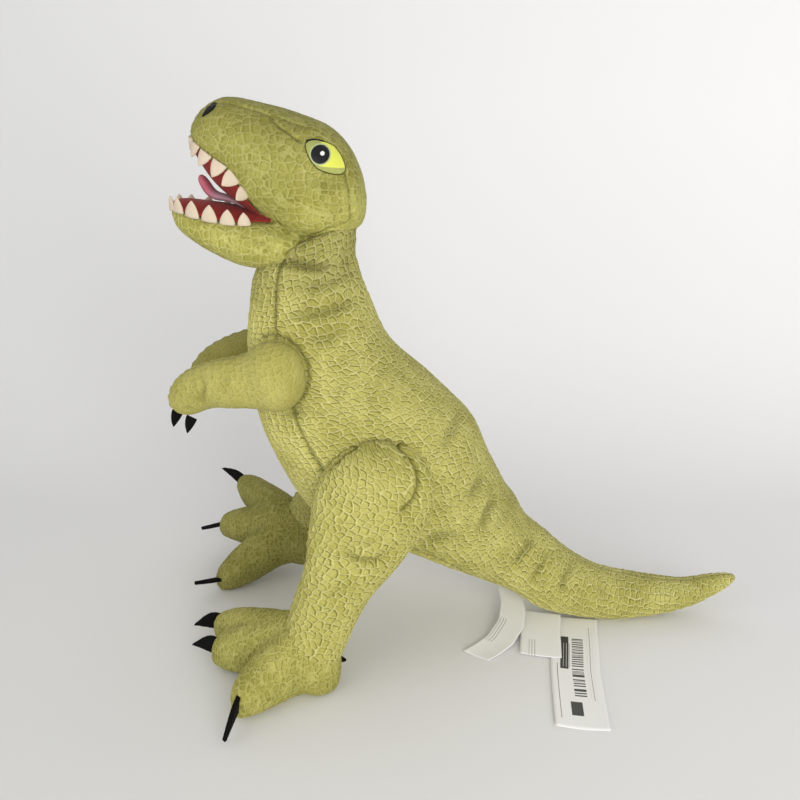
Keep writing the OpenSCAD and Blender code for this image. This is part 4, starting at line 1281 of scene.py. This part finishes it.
def eye_thread():
    """Satin stitch in four colours, chosen by the distance from the pupil, on fine parallel threads."""
    material, tree, shader = new_material("satin_stitch_eye", roughness=0.42, specular=0.4)
    sewn = add(tree, "ShaderNodeAttribute", attribute_name="sewn").outputs["Vector"]
    def far_from(x, z):
        return add(tree, "ShaderNodeVectorMath", {0: sewn, 1: (x, z, 0)},
                   operation="DISTANCE").outputs["Value"]

    def inside(distance, reach, soft=0.25):
        return add(tree, "ShaderNodeMapRange",
                   {0: distance, 1: reach - soft, 2: reach + soft, 3: 1.0, 4: 0.0},
                   interpolation_type="SMOOTHSTEP").outputs[0]

    pupil = far_from(*PUPIL)
    layers = [(inside(far_from(10, 60), 66.6, 0.3), "#e3e65c"),
              (inside(far_from(-44, 5), 41.5, 0.8), "#a6aa5e"),
              (inside(pupil, PUPIL_SIZE + 0.8), "#b4c08c"), (inside(pupil, PUPIL_SIZE), "#060607"),
              (inside(far_from(PUPIL[0] + 1.4, PUPIL[1] + 0.6), 1.35), "#f4f4f0")]
    field = add(tree, "ShaderNodeTexNoise", {"Vector": sewn, "Scale": 0.8, "Detail": 2.0}).outputs[0]
    mixed = add(tree, "ShaderNodeMix", {0: field, 6: colour("#9fa352"), 7: colour("#b4b866")},
                data_type="RGBA")
    for share, code in layers:
        mixed = add(tree, "ShaderNodeMix", {0: share, 6: mixed.outputs[2], 7: colour(code)}, data_type="RGBA")
    threads = add(tree, "ShaderNodeTexWave", {"Vector": sewn, "Scale": 0.7, "Distortion": 0.4},
                  bands_direction="X")
    bump = add(tree, "ShaderNodeBump", {"Strength": 0.5, "Distance": 0.25 * MM, "Height": threads.outputs[1]})
    tree.links.new(mixed.outputs[2], shader.inputs["Base Color"])
    tree.links.new(bump.outputs[0], shader.inputs["Normal"])
    return material


satin = eye_thread()


def one_stitch(length, thick):
    """A short plump stitch along X."""
    points, faces, around, rings = [], [], 6, 5
    for i in range(rings):
        t = i / (rings - 1) * 2 - 1
        r = thick / 2 * math.sqrt(max(0.08, 1 - t * t))
        for k in range(around):
            a = 2 * math.pi * k / around
            points.append((t * length / 2 * MM, r * math.cos(a) * MM, r * math.sin(a) * MM))
    for i in range(rings - 1):
        for k in range(around):
            faces.append((i * around + k, (i + 1) * around + k, (i + 1) * around + (k + 1) % around,
                          i * around + (k + 1) % around))
    faces += [tuple(range(around)), tuple((rings - 1) * around + k for k in range(around))[::-1]]
    return new_piece("one_stitch", points, faces, outline_thread)


def stitched_line(name, line, side, length, thick, step, slant, finish, lift=0.5):
    """Stitches laid across a line on the head's skin."""
    model = one_stitch(length, thick)
    flat = [place((x, side * 120, z))[0] for x, z in line]
    hits = [skin.ray_cast(Vector(p), Vector((0, -side, 0))) for p in flat]
    path = np.array([h[0] + h[1] * lift * MM for h in hits if h[0] is not None])
    points = fill_line(path, step * MM)
    turns, sizes = [], []
    for i, p in enumerate(points):
        ahead = Vector(points[min(i + 1, len(points) - 1)] - points[max(i - 1, 0)]).normalized()
        normal = skin.find_nearest(Vector(p))[1]
        cross = Matrix.Rotation(math.radians(slant), 3, normal) @ ahead
        y_axis = normal.cross(cross).normalized()
        turns.append(Matrix((cross.normalized(), y_axis,
                             cross.cross(y_axis).normalized())).transposed().to_euler())
        sizes.append((1, 1, 1))
    piece = scatter(name, model, finish, points, turns, sizes)
    bpy.data.objects.remove(model)
    return piece


NOSTRIL = (-173.5, 389.5)
nostril_outline = []
for k in range(28):
    a = 2 * math.pi * k / 28
    x, z = 6.2 * math.cos(a), 2.3 * math.sin(a) * (1 + 0.5 * math.cos(a))
    t = math.radians(44)
    nostril_outline.append((NOSTRIL[0] + x * math.cos(t) - z * math.sin(t),
                            NOSTRIL[1] + x * math.sin(t) + z * math.cos(t)))
for name, side in SIDES.items():
    almond = eye_outline()
    eye = patch("eye_embroidery_" + name, almond, EYE, side, 0.9, satin)
    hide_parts("eye_" + name)
    rim = stitched_line("eye_outline_" + name, almond + almond[:1], side, 1.3, 0.36, 0.4, 62, lid_thread,
                        lift=0.3)
    lid = stitched_line("eye_corner_" + name, almond[13:21], side, 1.7, 0.45, 0.4, 60, outline_thread,
                        lift=0.45)
    nose = patch("nostril_embroidery_" + name, nostril_outline, NOSTRIL, side, 0.5, outline_thread, rings=6)
    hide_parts("nostril_" + name)
    for piece, slot in ((eye, "eye_embroidery"), (rim, "eye_embroidery"), (lid, "eye_embroidery"),
                        (nose, "nostril_embroidery")):
        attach(piece, "head")

# %% [markdown]
# ## Labels
# Three woven ribbons are sewn into the seam under the tail. They are flat sheets with a curl, and they
# carry plain grey bars in place of any print.

# %% Labels


def ribbon_finish():
    material, tree, shader = new_material("white_satin_ribbon", roughness=0.55, sheen=0.1, specular=0.3)
    sewn = add(tree, "ShaderNodeAttribute", attribute_name="sewn").outputs["Vector"]
    parts = add(tree, "ShaderNodeSeparateXYZ", {0: sewn})
    across_it, down_it = parts.outputs[0], parts.outputs[1]

    def band(value, low, high):
        above = add(tree, "ShaderNodeMath", {0: value, 1: low}, operation="GREATER_THAN").outputs[0]
        below = add(tree, "ShaderNodeMath", {0: value, 1: high}, operation="LESS_THAN").outputs[0]
        return add(tree, "ShaderNodeMath", {0: above, 1: below}, operation="MULTIPLY").outputs[0]

    def box(left, right, top, foot, *more):
        share = add(tree, "ShaderNodeMath", {0: band(across_it, left, right), 1: band(down_it, top, foot)},
                    operation="MULTIPLY").outputs[0]
        for other in more:
            share = add(tree, "ShaderNodeMath", {0: share, 1: other}, operation="MULTIPLY").outputs[0]
        return share

    care = band(parts.outputs[2], 0.5, 1.5)
    uneven = add(tree, "ShaderNodeTexNoise",
                 {"Vector": add(tree, "ShaderNodeVectorMath", {0: sewn, 1: (0, 1, 0)},
                 operation="MULTIPLY").outputs[0], "Scale": 0.75, "Detail": 0.0}).outputs[0]
    bars = add(tree, "ShaderNodeMath", {0: uneven, 1: 0.5}, operation="GREATER_THAN").outputs[0]
    thin = add(tree, "ShaderNodeMath",
               {0: add(tree, "ShaderNodeMath", {0: across_it, 1: 1.1}, operation="PINGPONG").outputs[0],
                                        1: 0.28}, operation="LESS_THAN").outputs[0]
    mixed = add(tree, "ShaderNodeMix", {0: 0.0, 6: colour("#f3f2f0"), 7: colour("#f3f2f0")}, data_type="RGBA")
    for share, code in ((box(9, 13, 12, 100, thin, care), "#a9a8a6"), (box(-11, -5, 26, 66, care), "#3c3b3a"),
                        (box(-2.5, 6, 28, 96, bars, care), "#4a4948"),
                        (box(-6, 2, 102, 116, care), "#4a4948"),
                        (box(-14, -12, 60, 120, thin, care), "#8b8a88"),
                        (box(-9, -3, 34, 64, thin), "#b4b3b1")):
        mixed = add(tree, "ShaderNodeMix", {0: share, 6: mixed.outputs[2], 7: colour(code)}, data_type="RGBA")
    weave = add(tree, "ShaderNodeTexWave", {"Vector": sewn, "Scale": 1.2}, bands_direction="Y")
    bump = add(tree, "ShaderNodeBump", {"Strength": 0.15, "Distance": 0.1 * MM, "Height": weave.outputs[1]})
    tree.links.new(mixed.outputs[2], shader.inputs["Base Color"])
    tree.links.new(bump.outputs[0], shader.inputs["Normal"])
    return material


satin_ribbon = ribbon_finish()


def ribbon(name, path, width, node, edge_way, curl=0.0):
    """A ribbon sheet along a path, with a slight curl across it."""
    line = np.array([[np.interp(t, np.linspace(0, 1, len(path)), np.array(path)[:, k]) for k in range(3)]
                     for t in np.linspace(0, 1, 60)])
    for _ in range(3):
        line[1:-1] = (line[:-2] + line[1:-1] * 2 + line[2:]) / 4
    edge = np.array([-edge_way[1], edge_way[0], 0]) / np.hypot(*edge_way)
    columns = 16
    way = np.r_[0, np.cumsum(np.linalg.norm(np.diff(line, axis=0), axis=1))]
    points, sewn = [], []
    for i, p in enumerate(line):
        for k in range(columns + 1):
            s = k / columns * 2 - 1
            points.append(p + edge * s * width / 2
                          + np.array([0, 0, 0.5 + curl * s * s * (way[i] / way[-1])]))
            sewn.append((s * width / 2, way[i], float(node == "care_label")))
    n = columns + 1
    faces = [(i * n + k, i * n + k + 1, (i + 1) * n + k + 1, (i + 1) * n + k) for i in range(len(line) - 1)
             for k in range(columns)]
    piece = new_piece(name, place(points), faces, satin_ribbon)
    layer = piece.data.attributes.new("sewn", "FLOAT_VECTOR", "POINT")
    layer.data.foreach_set("vector", np.array(sewn, np.float32).ravel())
    m = piece.modifiers.new("ribbon", "SOLIDIFY")
    m.thickness, m.offset = 0.35 * MM, 0
    bake(piece)
    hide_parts(node)
    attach(piece, "labels")
    return piece


ribbon("care_ribbon", [(92, -10, 1.4), (89, -24, 0.6), (85, -46, 0.1), (79, -75, 0.1), (75, -105, 0.1),
                       (71, -137, 0.1)], 36, "care_label", (-19, -133), 1.2)
ribbon("size_ribbon",
       [(41.2, 12.3, 14), (42.4, -4.7, 9.5), (38.4, -23.3, 5), (27.6, -41.6, 2), (17.3, -51.3, 0.8),
        (7.4, -59.4, 0.4)], 22, "size_label",
       (-42, -64), 1.0)
ribbon("loop_ribbon", [(65, -8, 5), (64, -15, 4), (61, -27, 2.8), (59, -42, 1.8), (56, -60, 1)], 31,
       "loop_label",
       (-12, -59), 0.8)

# %% [markdown]
# ## Stage and light
# A pale floor that curves up into a wall keeps the horizon out of sight. The large soft key lamp stands in
# front on the camera's right, a wider weaker one on its left, and the pale room fills the shadows.

# %% Stage and light
WALL = 620


def sweep():
    """The floor and wall as one curved sheet."""
    profile = [(-1600, 0), (WALL - 420, 0)]
    profile += [(WALL - 420 + 420 * math.sin(a), 420 - 420 * math.cos(a)) for a in np.linspace(0.1,
        math.pi / 2, 14)]
    profile += [(WALL, 2200)]
    points = [(x, y, z) for y, z in profile for x in (-2600, 2600)]
    faces = [(2 * i, 2 * i + 1, 2 * i + 3, 2 * i + 2) for i in range(len(profile) - 1)]
    material, tree, shader = new_material("matt_white_paper", roughness=0.9)
    where = add(tree, "ShaderNodeTexCoord").outputs["Object"]
    tone = add(tree, "ShaderNodeTexNoise", {"Vector": where, "Scale": 2.0})
    parts = add(tree, "ShaderNodeSeparateXYZ", {0: where})
    # Painted light: the paper is painted lighter towards the camera's right and up the wall, where the lamps
    # light it more.
    right = add(tree, "ShaderNodeMapRange", {0: parts.outputs[0], 1: -0.6, 2: 0.5})
    wall = add(tree, "ShaderNodeMapRange", {0: parts.outputs[1], 1: 0.05, 2: 0.5})
    shades = [add(tree, "ShaderNodeMix", {0: right.outputs[0], 6: colour(a), 7: colour(b)},
                  data_type="RGBA").outputs[2]
              for a, b in (("#e3e3e1", "#edeceb"), ("#e4e4e3", "#fcfbfc"))]
    paper = add(tree, "ShaderNodeMix", {0: wall.outputs[0], 6: shades[0], 7: shades[1]}, data_type="RGBA")
    faint = add(tree, "ShaderNodeMapRange", {0: tone.outputs[0], 3: 0.985, 4: 1.0})
    mixed = add(tree, "ShaderNodeVectorMath", {0: paper.outputs[2], "Scale": faint.outputs[0]},
                operation="SCALE")
    tree.links.new(mixed.outputs[0], shader.inputs["Base Color"])
    # The sheet shows from the room side only, so that the toy can be looked at from behind too.
    outside = add(tree, "ShaderNodeNewGeometry").outputs["Backfacing"]
    clear = add(tree, "ShaderNodeBsdfTransparent")
    sides = add(tree, "ShaderNodeMixShader", {0: outside, 1: shader.outputs[0], 2: clear.outputs[0]})
    tree.links.new(sides.outputs[0], tree.nodes["Material Output"].inputs["Surface"])
    return new_piece("paper_sweep", list(place(points)), faces, material)


stage = sweep()


def lamp(name, at, aim, size, power, tint):
    light = bpy.data.lights.new(name, "AREA")
    light.size, light.energy, light.color = size, power, colour(tint)[:3]
    piece = bpy.data.objects.new(name, light)
    piece.location = at
    piece.rotation_euler = (Vector(aim) - Vector(at)).to_track_quat("-Z", "Y").to_euler()
    bpy.context.scene.collection.objects.link(piece)


lamp("key", (0.45, -1.5, 0.55), (-0.05, 0, 0.2), 1.1, 17, "#fffefa")
lamp("fill", (-1.25, -1.0, 0.7), (0.0, 0.1, 0.2), 1.4, 6, "#fdfdff")
world = bpy.data.worlds.new("room")
bpy.context.scene.world = world
world.use_nodes = True
world.node_tree.nodes["Background"].inputs[0].default_value = colour("#f6f6f7")
world.node_tree.nodes["Background"].inputs[1].default_value = 0.56
bpy.context.scene.view_settings.view_transform = "Standard"
